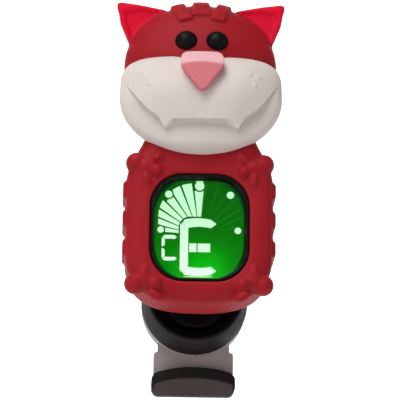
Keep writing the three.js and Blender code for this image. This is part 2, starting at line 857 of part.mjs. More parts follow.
function sideRidges() {
  const depth = sleeveBack - sleeveFront - 2 * edgeRound;
  const middle = (sleeveBack + sleeveFront) / 2;
  const ridges = [];
  for (const side of [-1, 1]) {
    for (let i = 0; i < 3; i += 1) {
      ridges.push(solid(block(
        side * (bodyHalfWidth + stripeProud - ridgeRoot / 2),
        middle - depth / 2,
        middle + depth / 2,
        ridgeTop - i * ridgePitch,
        ridgeRoot,
        ridgeHeight,
      )));
    }
  }
  return ridges;
}

function paws() {
  const parts = [];
  for (const side of [-1, 1]) {
    for (const height of pawHeights) {
      const lump = new THREE.Vector3(side * pawSide, sleeveFront + pawLump, height);
      const palmHeight = height - Math.sign(height) * pawLump / 2;
      const palm = new THREE.Vector3(side * palmSide, sleeveFront + pawLump / 2, palmHeight);
      parts.push(solid(ellipsoid(lump, new THREE.Vector3(pawLump, pawLump, pawLump), 12, 8)));
      parts.push(solid(ellipsoid(palm, palmSize, 12, 8)));
    }
  }
  return parts;
}

function muzzleSolid(grow) {
  const radii = muzzleRadii.clone().addScalar(grow);
  const whole = solid(ellipsoid(muzzleCentre, radii, 24, 14));
  const behind = solid(block(0, muzzleBack + grow, muzzleBack + 20, muzzleCentre.z, 60, 60));
  const aboveCore = coreOutline(grow - frontSkin - 2 * fit);
  const shoulder = solid(slab(aboveCore, sleeveFront - fit + grow, muzzleBack + beyond));
  return cut(whole, behind, shoulder);
}

function noseSolid(grow) {
  const half = noseHalfWidth + grow;
  const top = noseTop + grow;
  const tip = noseTip - grow;
  const shape = new THREE.Shape();
  shape.moveTo(0, tip);
  shape.quadraticCurveTo(half * 0.3, tip, half * 0.5, tip + 2);
  shape.quadraticCurveTo(half * 1.15, noseWide - 0.6, half, noseWide);
  shape.quadraticCurveTo(half * 0.9, top, half * 0.5, top);
  shape.lineTo(-half * 0.5, top);
  shape.quadraticCurveTo(-half * 0.9, top, -half, noseWide);
  shape.quadraticCurveTo(-half * 1.15, noseWide - 0.6, -half * 0.5, tip + 2);
  shape.quadraticCurveTo(-half * 0.3, tip, 0, tip);
  const round = grow > 0 ? 0 : noseRound;
  return solid(slab(shape, noseFront - grow, noseBack + grow, 4, round));
}

function eyeSolid(side, grow) {
  const radius = eyeRadius + grow;
  const dome = eyeFront - grow;
  return solid(turned([
    [0, eyeBack + grow],
    [radius, eyeBack + grow],
    [radius, dome + radius * 0.65],
    [radius * 0.8, dome + radius * 0.28],
    [radius * 0.42, dome + radius * 0.06],
    [0, dome],
  ], eyeHeight, 20, side * eyeSide));
}

function makeSleeve() {
  const body = solid(slab(bodyOutline(), sleeveFront, sleeveBack, 7, edgeRound));
  const core = solid(slab(coreOutline(-fit), coreFront - fit, sleeveBack + beyond));
  const window = solid(slab(windowOutline(0), sleeveFront - 2 * beyond, coreFront));
  const lumps = [...sideRidges(), ...paws(), ...headStripes(), ear(-1), ear(1)];
  const whole = join(body, headSolid(), ...lumps);
  return cut(
    whole,
    core,
    window,
    muzzleSolid(fit),
    noseSolid(fit),
    eyeSolid(-1, fit),
    eyeSolid(1, fit),
  );
}

const makeMuzzle = () => cut(muzzleSolid(0), noseSolid(fit));

// ---- Assembly ----------------------------------------------------------------------------------

const finish = (color, roughness, metalness = 0) => (
  new THREE.MeshStandardMaterial({ color, roughness, metalness })
);

const redSilicone = finish('#8c1a22', 0.6);
const whiteSilicone = finish('#ddd8d2', 0.55);
const pinkSilicone = finish('#e79aa2', 0.5);
const blackGloss = finish('#0c0a0a', 0.15);
const blackPlastic = finish('#1b1817', 0.5);
const greyPlastic = finish('#8c837e', 0.5);
const blackRubber = finish('#1e1a19', 0.75);
const clearPlastic = finish('#cfe8d6', 0.08);
const greenGlass = finish('#0f8a1e', 0.2);
const milkyPlastic = finish('#e8efe6', 0.5);
const boardGreen = finish('#1d5a33', 0.5);
const steel = finish('#b5b7ba', 0.3, 1);
const brass = finish('#c9a45c', 0.35, 1);

const tuner = new THREE.Group();
const clip = new THREE.Group();
const head = new THREE.Group();
head.position.set(0, headY, headZ);
tuner.add(clip, head);

function place(group, name, body, material) {
  const geometry = body.isBufferGeometry ? body : geometryOf(body);
  const mesh = new THREE.Mesh(geometry, material);
  mesh.name = name;
  group.add(mesh);
}

place(clip, 'front_arm', makeFrontArm(), greyPlastic);
place(clip, 'front_jaw_pad', makeFrontJawPad(), blackRubber);
place(clip, 'rear_arm', makeRearArm(), blackPlastic);
place(clip, 'rear_jaw_pad', makeRearJawPad(), blackRubber);
place(clip, 'hinge_pin', makeHingePin(), steel);
place(clip, 'torsion_spring', makeTorsionSpring(), steel);
place(clip, 'swivel_cup', makeSwivelCup(), blackPlastic);
place(clip, 'socket_collar', makeSocketCollar(), blackPlastic);
place(clip, 'ball_seat', makeBallSeat(), milkyPlastic);
place(clip, 'swivel_screw', makeSwivelScrew(), steel);
place(clip, 'swivel_washer', makeSwivelWasher(), steel);
place(clip, 'ball_stud', makeBallStud(), blackPlastic);

place(head, 'silicone_sleeve', makeSleeve(), redSilicone);
place(head, 'muzzle', makeMuzzle(), whiteSilicone);
place(head, 'nose', noseSolid(0), pinkSilicone);
place(head, 'eye_left', eyeSolid(-1, 0), blackGloss);
place(head, 'eye_right', eyeSolid(1, 0), blackGloss);
place(head, 'front_housing', makeFrontHousing(), blackPlastic);
place(head, 'rear_cover', makeRearCover(), blackPlastic);
place(head, 'battery_door', makeBatteryDoor(), blackPlastic);
place(head, 'power_button', makePowerButton(), blackRubber);
place(head, 'display_lens', makeDisplayLens(), clearPlastic);
place(head, 'lcd_panel', makeLcdPanel(), greenGlass);
place(head, 'backlight_diffuser', makeDiffuser(), milkyPlastic);
place(head, 'backlight_led', makeBacklightLed(), milkyPlastic);
place(head, 'display_connector', makeDisplayConnector(), blackRubber);
place(head, 'circuit_board', makeCircuitBoard(), boardGreen);
place(head, 'processor', makeProcessor(), blackPlastic);
place(head, 'crystal', makeCrystal(), steel);
place(head, 'tact_switch', makeTactSwitch(), steel);
place(head, 'piezo_disc', makePiezoDisc(), brass);
place(head, 'stud_nut', makeStudNut(), brass);
place(head, 'battery', makeBattery(), steel);
place(head, 'battery_contact_positive', makePositiveContact(), steel);
place(head, 'battery_contact_negative', makeNegativeContact(), steel);
coverScrewPlaces.forEach((at, i) => place(head, `cover_screw_${i + 1}`, makeCoverScrew(at), steel));

export default tuner;
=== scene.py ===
import json
import math

import bmesh
import bpy
from mathutils import Matrix, Vector


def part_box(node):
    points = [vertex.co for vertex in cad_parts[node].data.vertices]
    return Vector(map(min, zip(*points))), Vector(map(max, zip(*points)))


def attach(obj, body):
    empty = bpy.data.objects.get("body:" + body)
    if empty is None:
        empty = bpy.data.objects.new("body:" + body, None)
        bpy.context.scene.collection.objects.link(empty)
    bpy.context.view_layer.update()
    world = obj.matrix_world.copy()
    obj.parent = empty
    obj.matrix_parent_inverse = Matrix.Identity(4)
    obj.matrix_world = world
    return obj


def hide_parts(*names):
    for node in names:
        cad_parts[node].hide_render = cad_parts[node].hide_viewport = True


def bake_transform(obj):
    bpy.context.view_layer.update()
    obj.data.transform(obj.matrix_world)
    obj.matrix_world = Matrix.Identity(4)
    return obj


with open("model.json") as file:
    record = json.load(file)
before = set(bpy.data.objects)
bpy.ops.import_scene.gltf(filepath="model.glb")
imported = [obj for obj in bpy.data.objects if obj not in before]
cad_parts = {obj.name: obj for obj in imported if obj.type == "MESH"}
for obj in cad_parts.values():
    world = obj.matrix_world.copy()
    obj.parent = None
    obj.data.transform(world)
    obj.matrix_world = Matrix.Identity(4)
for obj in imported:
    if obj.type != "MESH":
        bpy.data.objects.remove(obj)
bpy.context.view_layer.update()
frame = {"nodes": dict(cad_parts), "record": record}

# ---- Places and sizes --------------------------------------------------------------------------
# Shapes are drawn in millimetres: the cat's about the middle of the display, the clip's about the
# middle of the front jaw pad's gripping face.

MM = 0.001
display_low, display_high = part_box("lcd_panel")
display = (display_low + display_high) / 2
cover_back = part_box("rear_cover")[1].y
COVER_BACK = 7.2  # back of the rear cover, from the cat's middle
head_origin = Vector((0, cover_back - COVER_BACK * MM, display.z))
TO_HEAD = Matrix.Translation(head_origin) @ Matrix.Scale(MM, 4)
TO_CLIP = Matrix.Scale(MM, 4)

GLASS_FRONT = (display_low.y - head_origin.y) / MM
SWIVEL_HEIGHT = sum(p.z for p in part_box("ball_stud")) / 2 / MM
CUP_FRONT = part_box("swivel_cup")[0].y / MM
CUP_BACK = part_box("swivel_cup")[1].y / MM

SLEEVE_FRONT = -8.0
SLEEVE_BACK = 7.4
BODY_HALF = 14.75
BODY_BOTTOM = -15.2
BODY_SIDE = 8.5  # from the bottom up to where the sides run straight
NECK_HALF = 10.9
NECK_HEIGHT = 19.2
NECK_TUCK = 6  # how far the neck runs up inside the head
SHOULDER_DROP = 9.7  # where the sides start to draw in, below the neck
CORE = (12.5, 15.1, 8.3, 1.2)  # half width, half height, corner radius, height of the middle
CORE_FRONT = -6.6
HEAD_CENTRE = Vector((0, -0.8, 34.5))
HEAD_RADII = Vector((15.55, 8.4, 13.3))
HEAD_POWER = 2.08  # 2 is an ellipse, more is squarer
MUZZLE_CENTRE = Vector((0, -7.2, 26.4))
MUZZLE_RADII = Vector((16.4, 7.6, 11.6))
MUZZLE_RISE = 8.8  # from the muzzle's middle to the top of the cheeks
MUZZLE_BACK = -2.6
WINDOW = (10.0, 11.05, 6.7)  # half width, half height, corner radius


# ---- Shape helpers -----------------------------------------------------------------------------

def blend_step(low, high, value):
    """0 below low, 1 above high, and smooth between."""
    t = min(max((value - low) / (high - low), 0.0), 1.0)
    return t * t * (3 - 2 * t)


def bump(value, middle, reach):
    """1 at the middle, falling smoothly to 0 at reach to either side."""
    return 1 - blend_step(0, reach, abs(value - middle))


def bezier(start, pull_a, pull_b, end, steps):
    """Points along a cubic curve in X and Z, without its last one."""
    a, b, c, d = (Vector(p) for p in (start, pull_a, pull_b, end))
    points = []
    for i in range(steps):
        t = i / steps
        s = 1 - t
        points.append(a * s ** 3 + b * 3 * s * s * t + c * 3 * s * t * t + d * t ** 3)
    return points


def round_rectangle(half_width, half_height, corner, steps=14, centre=(0, 0)):
    """Points round a rectangle with round corners in X and Z."""
    points = []
    for quarter, (sx, sz) in enumerate(((1, 1), (-1, 1), (-1, -1), (1, -1))):
        for i in range(steps + 1):
            angle = math.pi / 2 * (quarter + i / steps)
            points.append(Vector((
                centre[0] + sx * (half_width - corner) + corner * math.cos(angle),
                centre[1] + sz * (half_height - corner) + corner * math.sin(angle),
            )))
    return points


def add_prism(bm, outline, front, back, round_front=0.0, round_back=0.0, segments=4):
    """An outline in X and Z pulled from one Y to another, its front and back edges rounded."""
    verts = [bm.verts.new((p[0], front, p[1])) for p in outline]
    face = bm.faces.new(verts)
    pulled = bmesh.ops.extrude_face_region(bm, geom=[face])["geom"]
    far = [v for v in pulled if isinstance(v, bmesh.types.BMVert)]
    bmesh.ops.translate(bm, verts=far, vec=(0, back - front, 0))
    faces = {f for v in verts + far for f in v.link_faces}
    bmesh.ops.recalc_face_normals(bm, faces=list(faces))
    for ring, offset in ((verts, round_front), (far, round_back)):
        if offset <= 0:
            continue
        members = set(ring)
        edges = {e for v in ring for e in v.link_edges if set(e.verts) <= members}
        bmesh.ops.bevel(bm, geom=list(edges), offset=offset, segments=segments, profile=0.5,
                        affect="EDGES", clamp_overlap=True, material=-1)


def add_ball(bm, centre, radii, across=32, down=20, turn=None):
    """An ellipsoid, turned about its own middle if a rotation is given."""
    turn = turn or Matrix.Identity(4)
    place = Matrix.Translation(centre) @ turn @ Matrix.Diagonal((*radii, 1))
    bmesh.ops.create_uvsphere(bm, u_segments=across, v_segments=down, radius=1, matrix=place)


def mesh_from(bm, name):
    mesh = bpy.data.meshes.new(name)
    bm.to_mesh(mesh)
    bm.free()
    return mesh


def new_object(name, data):
    obj = bpy.data.objects.new(name, data)
    bpy.context.scene.collection.objects.link(obj)
    return obj


def worked(bm, prepare):
    """The shape after the modifiers that prepare(object) adds, as a new bmesh."""
    stand = new_object("working_shape", mesh_from(bm, "working_shape"))
    helpers = prepare(stand) or []
    bpy.context.view_layer.update()
    result = bmesh.new()
    result.from_object(stand, bpy.context.evaluated_depsgraph_get())
    for o in [stand, *helpers]:
        mesh = o.data
        bpy.data.objects.remove(o)
        bpy.data.meshes.remove(mesh)
    return result


def fused(bm, voxel, rounds, factor=0.5):
    """Overlapping closed shapes made one skin, with soft inner corners."""
    def prepare(stand):
        melt = stand.modifiers.new("melt", "REMESH")
        melt.mode = "VOXEL"
        melt.voxel_size = voxel
        soften = stand.modifiers.new("soften", "SMOOTH")
        soften.factor = factor
        soften.iterations = rounds
    return worked(bm, prepare)


def combined(bm, others, operation):
    """The shape with each of the others added to it or cut from it, all bmeshes."""
    def prepare(stand):
        helpers = []
        for other in others:
            tool = new_object("tool_shape", mesh_from(other, "tool_shape"))
            step = stand.modifiers.new("step", "BOOLEAN")
            step.operation = operation
            step.solver = "EXACT"
            step.object = tool
            helpers.append(tool)
        return helpers
    return worked(bm, prepare)


def carved(bm, cutters):
    return combined(bm, cutters, "DIFFERENCE")


def piece(bm, name, place, body, material, stands_for=(), crease=None):
    """A finished piece: its shape put in place, its material, the body it rides on."""
    bmesh.ops.transform(bm, matrix=place, verts=bm.verts)
    bmesh.ops.recalc_face_normals(bm, faces=bm.faces)
    for f in bm.faces:
        f.smooth = True
    obj = new_object(name, mesh_from(bm, name))
    if crease:
        obj.data.set_sharp_from_angle(angle=math.radians(crease))
    obj.data.materials.append(material)
    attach(obj, body)
    if stands_for:
        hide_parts(*stands_for)
    return obj


def add_edge_radius(obj, width, angle=30):
    """Rounds the edges that turn by more than an angle in degrees."""
    edge = obj.modifiers.new("edge", "BEVEL")
    edge.width = width * MM
    edge.segments = 3
    edge.limit_method = "ANGLE"
    edge.angle_limit = math.radians(angle)
    edge.harden_normals = True


def softened_copy(node, body, material, width):
    """A mechanical piece with the small edge radii that moulding or stamping leaves."""
    bm = bmesh.new()
    bm.from_mesh(frame["nodes"][node].data)
    bmesh.ops.remove_doubles(bm, verts=bm.verts, dist=2e-6)
    bmesh.ops.dissolve_limit(bm, angle_limit=math.radians(1), verts=bm.verts, edges=bm.edges)
    obj = piece(bm, node + "_shape", Matrix.Identity(4), body, material, (node,), crease=34)
    add_edge_radius(obj, width, 34)


# ---- Shader groups -----------------------------------------------------------------------------

class Group:
    """A shader node group being built: nodes are added by type and joined by socket."""

    def __init__(self, name, inputs, outputs):
        self.tree = bpy.data.node_groups.new(name, "ShaderNodeTree")
        for label, kind, default in inputs:
            socket = self.tree.interface.new_socket(label, in_out="INPUT", socket_type=kind)
            socket.default_value = default
        for label, kind in outputs:
            self.tree.interface.new_socket(label, in_out="OUTPUT", socket_type=kind)
        self.inside = self.tree.nodes.new("NodeGroupInput")
        self.outside = self.tree.nodes.new("NodeGroupOutput")

    def add(self, kind, links=None, **values):
        return add_node(self.tree, kind, links, **values)


def add_node(tree, kind, links=None, **values):
    """A node whose plain properties and inputs are set, and whose linked inputs are joined."""
    node = tree.nodes.new(kind)
    for key, value in values.items():
        if hasattr(node, key):
            setattr(node, key, value)
        else:
            node.inputs[key.replace("_", " ")].default_value = value
    for key, source in (links or {}).items():
        tree.links.new(source, node.inputs[key])
    return node


def set_inputs(node, **values):
    """Sets plain inputs by their labels, with _ for each space."""
    for key, value in values.items():
        node.inputs[key.replace("_", " ")].default_value = value


def own_place(tree):
    """Where a point lies in its object's own space."""
    return add_node(tree, "ShaderNodeTexCoord").outputs["Object"]


def one_axis(tree, place, axis):
    return add_node(tree, "ShaderNodeSeparateXYZ", {"Vector": place}).outputs[axis]


def map_range(tree, value, start, end, low=0.0, high=1.0):
    """Carries a value from the range start to end over to the range low to high, and no further."""
    node = add_node(tree, "ShaderNodeMapRange", {"Value": value},
                    From_Min=start, From_Max=end, To_Min=low, To_Max=high)
    return node.outputs["Result"]


def value_math(tree, operation, first, second):
    """Works out a value socket with a second one, or with a number."""
    node = add_node(tree, "ShaderNodeMath", {0: first}, operation=operation)
    if isinstance(second, float):
        node.inputs[1].default_value = second
    else:
        tree.links.new(second, node.inputs[1])
    return node.outputs["Value"]


def vector_math(tree, operation, first, second=None):
    """Works out a vector socket, with a fixed second vector where there is one."""
    node = add_node(tree, "ShaderNodeVectorMath", {0: first}, operation=operation)
    if second is not None:
        node.inputs[1].default_value = second
    return node.outputs["Value" if operation == "LENGTH" else "Vector"]


FLOAT = "NodeSocketFloat"


def make_grain_group():
    """Fine moulded grain: a height for bump and a drift for colour and gloss."""
    g = Group("moulded_grain", [("Fineness", FLOAT, 6000.0), ("Drift Size", FLOAT, 180.0)],
              [("Height", FLOAT), ("Drift", FLOAT)])
    spot = own_place(g.tree)
    fine = g.add("ShaderNodeTexNoise", {"Vector": spot, "Scale": g.inside.outputs["Fineness"]},
                 Detail=2.0, Roughness=0.6)
    drift = g.add("ShaderNodeTexNoise", {"Vector": spot, "Scale": g.inside.outputs["Drift Size"]},
                  Detail=3.0)
    g.tree.links.new(fine.outputs["Fac"], g.outside.inputs["Height"])
    g.tree.links.new(drift.outputs["Fac"], g.outside.inputs["Drift"])
    return g.tree


def make_dust_group():
    """Pale specks: a mask from 0, clean, to 1, dusty."""
    g = Group("dust_specks", [("Size", FLOAT, 1400.0), ("Amount", FLOAT, 0.5)], [("Mask", FLOAT)])
    spot = own_place(g.tree)
    specks = g.add("ShaderNodeTexVoronoi", {"Vector": spot, "Scale": g.inside.outputs["Size"]})
    small = map_range(g.tree, specks.outputs["Distance"], 0.0, 0.09, 1.0, 0.0)
    scaled = value_math(g.tree, "MULTIPLY", small, g.inside.outputs["Amount"])
    g.tree.links.new(scaled, g.outside.inputs["Mask"])
    return g.tree


GRAIN = make_grain_group()
DUST = make_dust_group()


# ---- Materials ---------------------------------------------------------------------------------

def new_material(name):
    material = bpy.data.materials.new(name)
    material.use_nodes = True
    tree = material.node_tree
    shader = tree.nodes["Principled BSDF"]
    return material, tree, shader


def use_group(tree, group, **values):
    node = tree.nodes.new("ShaderNodeGroup")
    node.node_tree = group
    set_inputs(node, **values)
    return node


def colour_mix(tree, factor, first, second):
    """Two colours mixed by a factor socket. A colour is a tuple or a socket."""
    mix = tree.nodes.new("ShaderNodeMix")
    mix.data_type = "RGBA"
    tree.links.new(factor, mix.inputs["Factor"])
    for label, colour in (("A", first), ("B", second)):
        socket = next(s for s in mix.inputs if s.name == label and s.type == "RGBA")
        if isinstance(colour, tuple):
            socket.default_value = (*colour, 1)
        else:
            tree.links.new(colour, socket)
    return next(s for s in mix.outputs if s.type == "RGBA")


def add_bump(tree, shader, height, strength, distance):
    node = add_node(tree, "ShaderNodeBump", {"Height": height},
                    Strength=strength, Distance=distance)
    tree.links.new(node.outputs["Normal"], shader.inputs["Normal"])


def set_gloss(tree, shader, drift, low, high):
    """Roughness that drifts from low to high with a noise, whose middle part is used."""
    tree.links.new(map_range(tree, drift, 0.3, 0.7, low, high), shader.inputs["Roughness"])


def painted_light_mix(tree, base, painted_light):
    """A base colour that turns into a second one, painted light, where the mesh's stored attribute
    is 1.
    """
    share = add_node(tree, "ShaderNodeAttribute", attribute_name="painted_light")
    return colour_mix(tree, share.outputs["Fac"], base, painted_light)


def grained(name, dark, light, painted_light, gloss, grain, dust, paler):
    """A new material of drifting colour and gloss, fine grain and a few specks of dust.

    gloss is the lowest and highest roughness, grain the grain's fineness and the drift's, dust
    the specks' fineness and amount, and paler what multiplies and lifts light to dust's colour.
    """
    material, tree, shader = new_material(name)
    texture = use_group(tree, GRAIN, Fineness=grain[0], Drift_Size=grain[1])
    specks = use_group(tree, DUST, Size=dust[0], Amount=dust[1])
    base = colour_mix(tree, texture.outputs["Drift"], dark, light)
    if painted_light:
        base = painted_light_mix(tree, base, painted_light)
    dusty = tuple(min(c * paler[0] + paler[1], 1.0) for c in light)
    coloured = colour_mix(tree, specks.outputs["Mask"], base, dusty)
    tree.links.new(coloured, shader.inputs["Base Color"])
    set_gloss(tree, shader, texture.outputs["Drift"], *gloss)
    return material, tree, shader, texture.outputs["Height"]


def moulded(name, dark, light, roughness, grain=6000.0, bump_mm=0.01, dust=0.15,
            specular=0.2, painted_light=None):
    """A moulded plastic or rubber. The last argument is its colour of painted light where the
    stored attribute is 1.
    """
    material, tree, shader, height = grained(
        name, dark, light, painted_light, (roughness - 0.06, roughness + 0.08), (grain, 160.0),
        (900.0, dust), (1.4, 0.03))
    set_inputs(shader, Specular_IOR_Level=specular)
    add_bump(tree, shader, height, 0.35, bump_mm * MM)
    return material


def silicone(name, dark, light, radius, weight=0.35, roughness=0.55, painted_light=None):
    """Matte silicone that light sinks into. The last argument is its colour of painted light where
    the stored attribute is 1.
    """
    material, tree, shader, height = grained(
        name, dark, light, painted_light, (roughness - 0.05, roughness + 0.07), (7000.0, 120.0),
        (700.0, 0.12), (1.3, 0.1))
    set_inputs(shader, Subsurface_Weight=weight, Subsurface_Radius=radius,
               Subsurface_Scale=1.0, Specular_IOR_Level=0.12)
    add_bump(tree, shader, height, 0.3, 0.012 * MM)
    return material


def metal(name, dark, light, roughness):
    """Plated or bare metal with fine scratches along one way."""
    material, tree, shader = new_material(name)
    stretch = add_node(tree, "ShaderNodeMapping", {"Vector": own_place(tree)},
                       Scale=(2500.0, 300.0, 9000.0))
    scratches = add_node(tree, "ShaderNodeTexNoise", {"Vector": stretch.outputs["Vector"]},
                         Scale=1.0, Detail=3.0)
    base = colour_mix(tree, scratches.outputs["Fac"], dark, light)
    tree.links.new(base, shader.inputs["Base Color"])
    set_gloss(tree, shader, scratches.outputs["Fac"], roughness - 0.06, roughness + 0.1)
    set_inputs(shader, Metallic=1.0)
    add_bump(tree, shader, scratches.outputs["Fac"], 0.15, 0.004 * MM)
    return material


def clear_plastic():
    """The display's clear window."""
    material, tree, shader = new_material("clear_window")
    texture = use_group(tree, GRAIN, Fineness=300.0, Drift_Size=90.0)
    tint = colour_mix(tree, texture.outputs["Drift"], (0.96, 1.0, 0.97), (0.99, 1.0, 0.99))
    tree.links.new(tint, shader.inputs["Base Color"])
    set_gloss(tree, shader, texture.outputs["Drift"], 0.01, 0.04)
    set_inputs(shader, Transmission_Weight=1.0, IOR=1.2)
    return material


DISPLAY_SPAN = 0.0205  # height over which the backlight fades


def past_panel(tree, centred):
    """0 on the panel's lit face and 1 outside it, a rectangle with round corners."""
    half_width, half_height, corner, soft = 0.00895, 0.0103, 0.0075, 0.00012
    away = vector_math(tree, "ABSOLUTE", centred)
    past = vector_math(tree, "SUBTRACT", away, (half_width - corner, 1.0, half_height - corner))
    outside = vector_math(tree, "MAXIMUM", past, (0, 0, 0))
    reach = vector_math(tree, "LENGTH", outside)
    return map_range(tree, reach, corner - soft, corner + soft)


def lamp_glow(tree, spot, centred):
    """The lamp's uneven glow at the bottom of the panel."""
    lamp, spread = (0.0004, GLASS_FRONT * MM + head_origin.y, -0.0108), 0.0115
    far = vector_math(tree, "LENGTH", vector_math(tree, "SUBTRACT", centred, lamp))
    steep = value_math(tree, "POWER", map_range(tree, far, 0.0, spread, 1.0, 0.0), 1.7)
    patchy = add_node(tree, "ShaderNodeTexNoise", {"Vector": spot}, Scale=160.0, Detail=1.0)
    wobble = value_math(tree, "MULTIPLY", steep, patchy.outputs["Fac"])
    return value_math(tree, "MULTIPLY", wobble, 1.7)


def set_lit(tree, shader, colour, roughness, specular):
    """A nearly black face that gives off the light of a colour socket."""
    tree.links.new(colour, shader.inputs["Emission Color"])
    set_inputs(shader, Emission_Strength=1.0, Base_Color=(0.0, 0.01, 0.0, 1),
               Roughness=roughness, Specular_IOR_Level=specular)


def lit_display():
    """The back-lit panel: green that deepens upwards, a lamp below and a dark border."""
    material, tree, shader = new_material("lit_display")
    spot = own_place(tree)
    centred = vector_math(tree, "SUBTRACT", spot, (0, 0, display.z))
    height = map_range(tree, one_axis(tree, centred, "Z"), -DISPLAY_SPAN / 2, DISPLAY_SPAN / 2)
    panel = colour_mix(tree, height, (0.0, 0.21, 0.0), (0.0, 0.1, 0.0))
    green = colour_mix(tree, lamp_glow(tree, spot, centred), panel, (0.0, 0.8, 0.006))
    shown = colour_mix(tree, past_panel(tree, centred), green, (0.0, 0.028, 0.006))
    set_lit(tree, shader, shown, 0.3, 0.1)
    return material


def lit_mark(name, top, bottom):
    """A display segment, paler towards the lamp below."""
    material, tree, shader = new_material(name)
    height = map_range(tree, one_axis(tree, own_place(tree), "Z"),
                       display.z - DISPLAY_SPAN / 2, display.z + DISPLAY_SPAN / 6)
    set_lit(tree, shader, colour_mix(tree, height, bottom, top), 0.4, 0.05)
    return material


def circuit_material():
    """Green solder mask with copper tracks showing through."""
    material, tree, shader = new_material("solder_mask")
    tracks = add_node(tree, "ShaderNodeTexBrick", {"Vector": own_place(tree)}, Scale=500.0)
    base = colour_mix(tree, tracks.outputs["Fac"], (0.02, 0.12, 0.05), (0.1, 0.3, 0.1))
    tree.links.new(base, shader.inputs["Base Color"])
    set_inputs(shader, Roughness=0.35)
    add_bump(tree, shader, tracks.outputs["Fac"], 0.3, 0.02 * MM)
    return material


# The red's second colour is painted light: a brighter red standing in for light shining through the
# thin ears.
SKIN_RED = silicone("red_silicone", (0.285, 0.007, 0.013), (0.35, 0.011, 0.018),
                    (0.0016, 0.0003, 0.0003), weight=0.3, painted_light=(0.63, 0.0, 0.024))
SKIN_WHITE = silicone("white_silicone", (0.61, 0.545, 0.515), (0.67, 0.605, 0.57),
                      (0.0016, 0.0011, 0.0009), weight=0.4)
# The pink's second colour is a painted highlight for the nose's upper band, which faces the light
# above.
SKIN_PINK = silicone("pink_silicone", (0.57, 0.16, 0.18), (0.63, 0.19, 0.215),
                     (0.0012, 0.0006, 0.0006), weight=0.3, painted_light=(0.74, 0.42, 0.44))
EYE_BLACK = moulded("eye_black", (0.002, 0.0017, 0.0016), (0.004, 0.003, 0.003), 0.5, dust=0.04,
                    specular=0.12)
PLASTIC_BLACK = moulded("black_plastic", (0.003, 0.0024, 0.0023), (0.006, 0.0048, 0.0045), 0.55,
                        dust=0.06, specular=0.1)
PLASTIC_DARK = moulded("dark_plastic", (0.007, 0.0047, 0.004), (0.011, 0.0078, 0.0068), 0.55,
                       specular=0.12)
PLASTIC_GREY = moulded("grey_plastic", (0.33, 0.275, 0.265), (0.39, 0.33, 0.315), 0.5)
PLASTIC_WHITE = moulded("white_plastic", (0.7, 0.71, 0.68), (0.8, 0.8, 0.77), 0.4)
# The rubber's second colour is a painted reflection of the bright floor on the toe's lower face.
RUBBER_BLACK = moulded("black_rubber", (0.007, 0.005, 0.0047), (0.011, 0.008, 0.0075), 0.6,
                       grain=4500.0, bump_mm=0.02, painted_light=(0.05, 0.037, 0.034))
STEEL = metal("steel", (0.45, 0.45, 0.46), (0.62, 0.62, 0.63), 0.28)
BRASS = metal("brass", (0.6, 0.43, 0.18), (0.75, 0.57, 0.28), 0.3)
WINDOW_CLEAR = clear_plastic()
DISPLAY_GREEN = lit_display()
SEGMENT_MINT = lit_mark("segment_mint", (0.58, 1.0, 0.64), (0.88, 1.0, 0.9))
SEGMENT_FAINT = lit_mark("segment_faint", (0.014, 0.22, 0.02), (0.014, 0.32, 0.02))
BOARD = circuit_material()

BY_SLOT = {
    "red_silicone": SKIN_RED, "white_silicone": SKIN_WHITE, "pink_silicone": SKIN_PINK,
    "black_gloss": EYE_BLACK, "black_plastic": PLASTIC_BLACK, "grey_plastic": PLASTIC_GREY,
    "black_rubber": RUBBER_BLACK, "clear_lens": WINDOW_CLEAR, "display_glass": DISPLAY_GREEN,
    "white_plastic": PLASTIC_WHITE, "board_green": BOARD, "steel": STEEL, "brass": BRASS,
}
for part in frame["record"]["subparts"]:
    slots = frame["nodes"][part["node"]].data.materials
    slots.clear()
    slots.append(BY_SLOT[part["material_slot"]])


# ---- Cat ---------------------------------------------------------------------------------------

def body_outline():
    """The sleeve's body in X and Z: round below, straight sides, drawn in to the neck."""
    shoulder = NECK_HEIGHT - SHOULDER_DROP
    side = BODY_BOTTOM + BODY_SIDE
    right = bezier((0, BODY_BOTTOM), (9.6, BODY_BOTTOM), (BODY_HALF - 1, BODY_BOTTOM + 2.2),
                   (BODY_HALF, side), 16)
    right += bezier((BODY_HALF, side), (BODY_HALF + 0.2, 0), (BODY_HALF + 0.1, shoulder - 2),
                    (BODY_HALF, shoulder), 6)
    right += bezier((BODY_HALF, shoulder), (BODY_HALF, shoulder + 3.7),
                    (NECK_HALF + 1.5, NECK_HEIGHT - 3.8), (NECK_HALF, NECK_HEIGHT), 12)
    right += [Vector((NECK_HALF, NECK_HEIGHT)), Vector((NECK_HALF, NECK_HEIGHT + NECK_TUCK))]
    left = [Vector((-p.x, p.y)) for p in reversed(right) if p.x > 0.01]
    return right + left


def square_off(bm, centre, radii, power):
    """Turns an ellipsoid's round outline in X and Z into a squarer one."""
    for v in bm.verts:
        x, z = (v.co.x - centre.x) / radii.x, (v.co.z - centre.z) / radii.z
        flat = math.hypot(x, z)
        if flat < 1e-6:
            continue
        reach = flat / (abs(x) ** power + abs(z) ** power) ** (1 / power)
        grow = 1 + (reach - 1) * min(flat, 1)
        v.co.x = centre.x + (v.co.x - centre.x) * grow
        v.co.z = centre.z + (v.co.z - centre.z) * grow


def head_shape(grow=0.0):
    bm = bmesh.new()
    radii = HEAD_RADII + Vector((grow, grow, grow))
    add_ball(bm, HEAD_CENTRE, radii, 112, 72)
    square_off(bm, HEAD_CENTRE, radii, HEAD_POWER)
    return bm


def add_shape(bm, other):
    """Adds a second shape to the first and frees it."""
    mesh = mesh_from(other, "added")
    bm.from_mesh(mesh)
    bpy.data.meshes.remove(mesh)


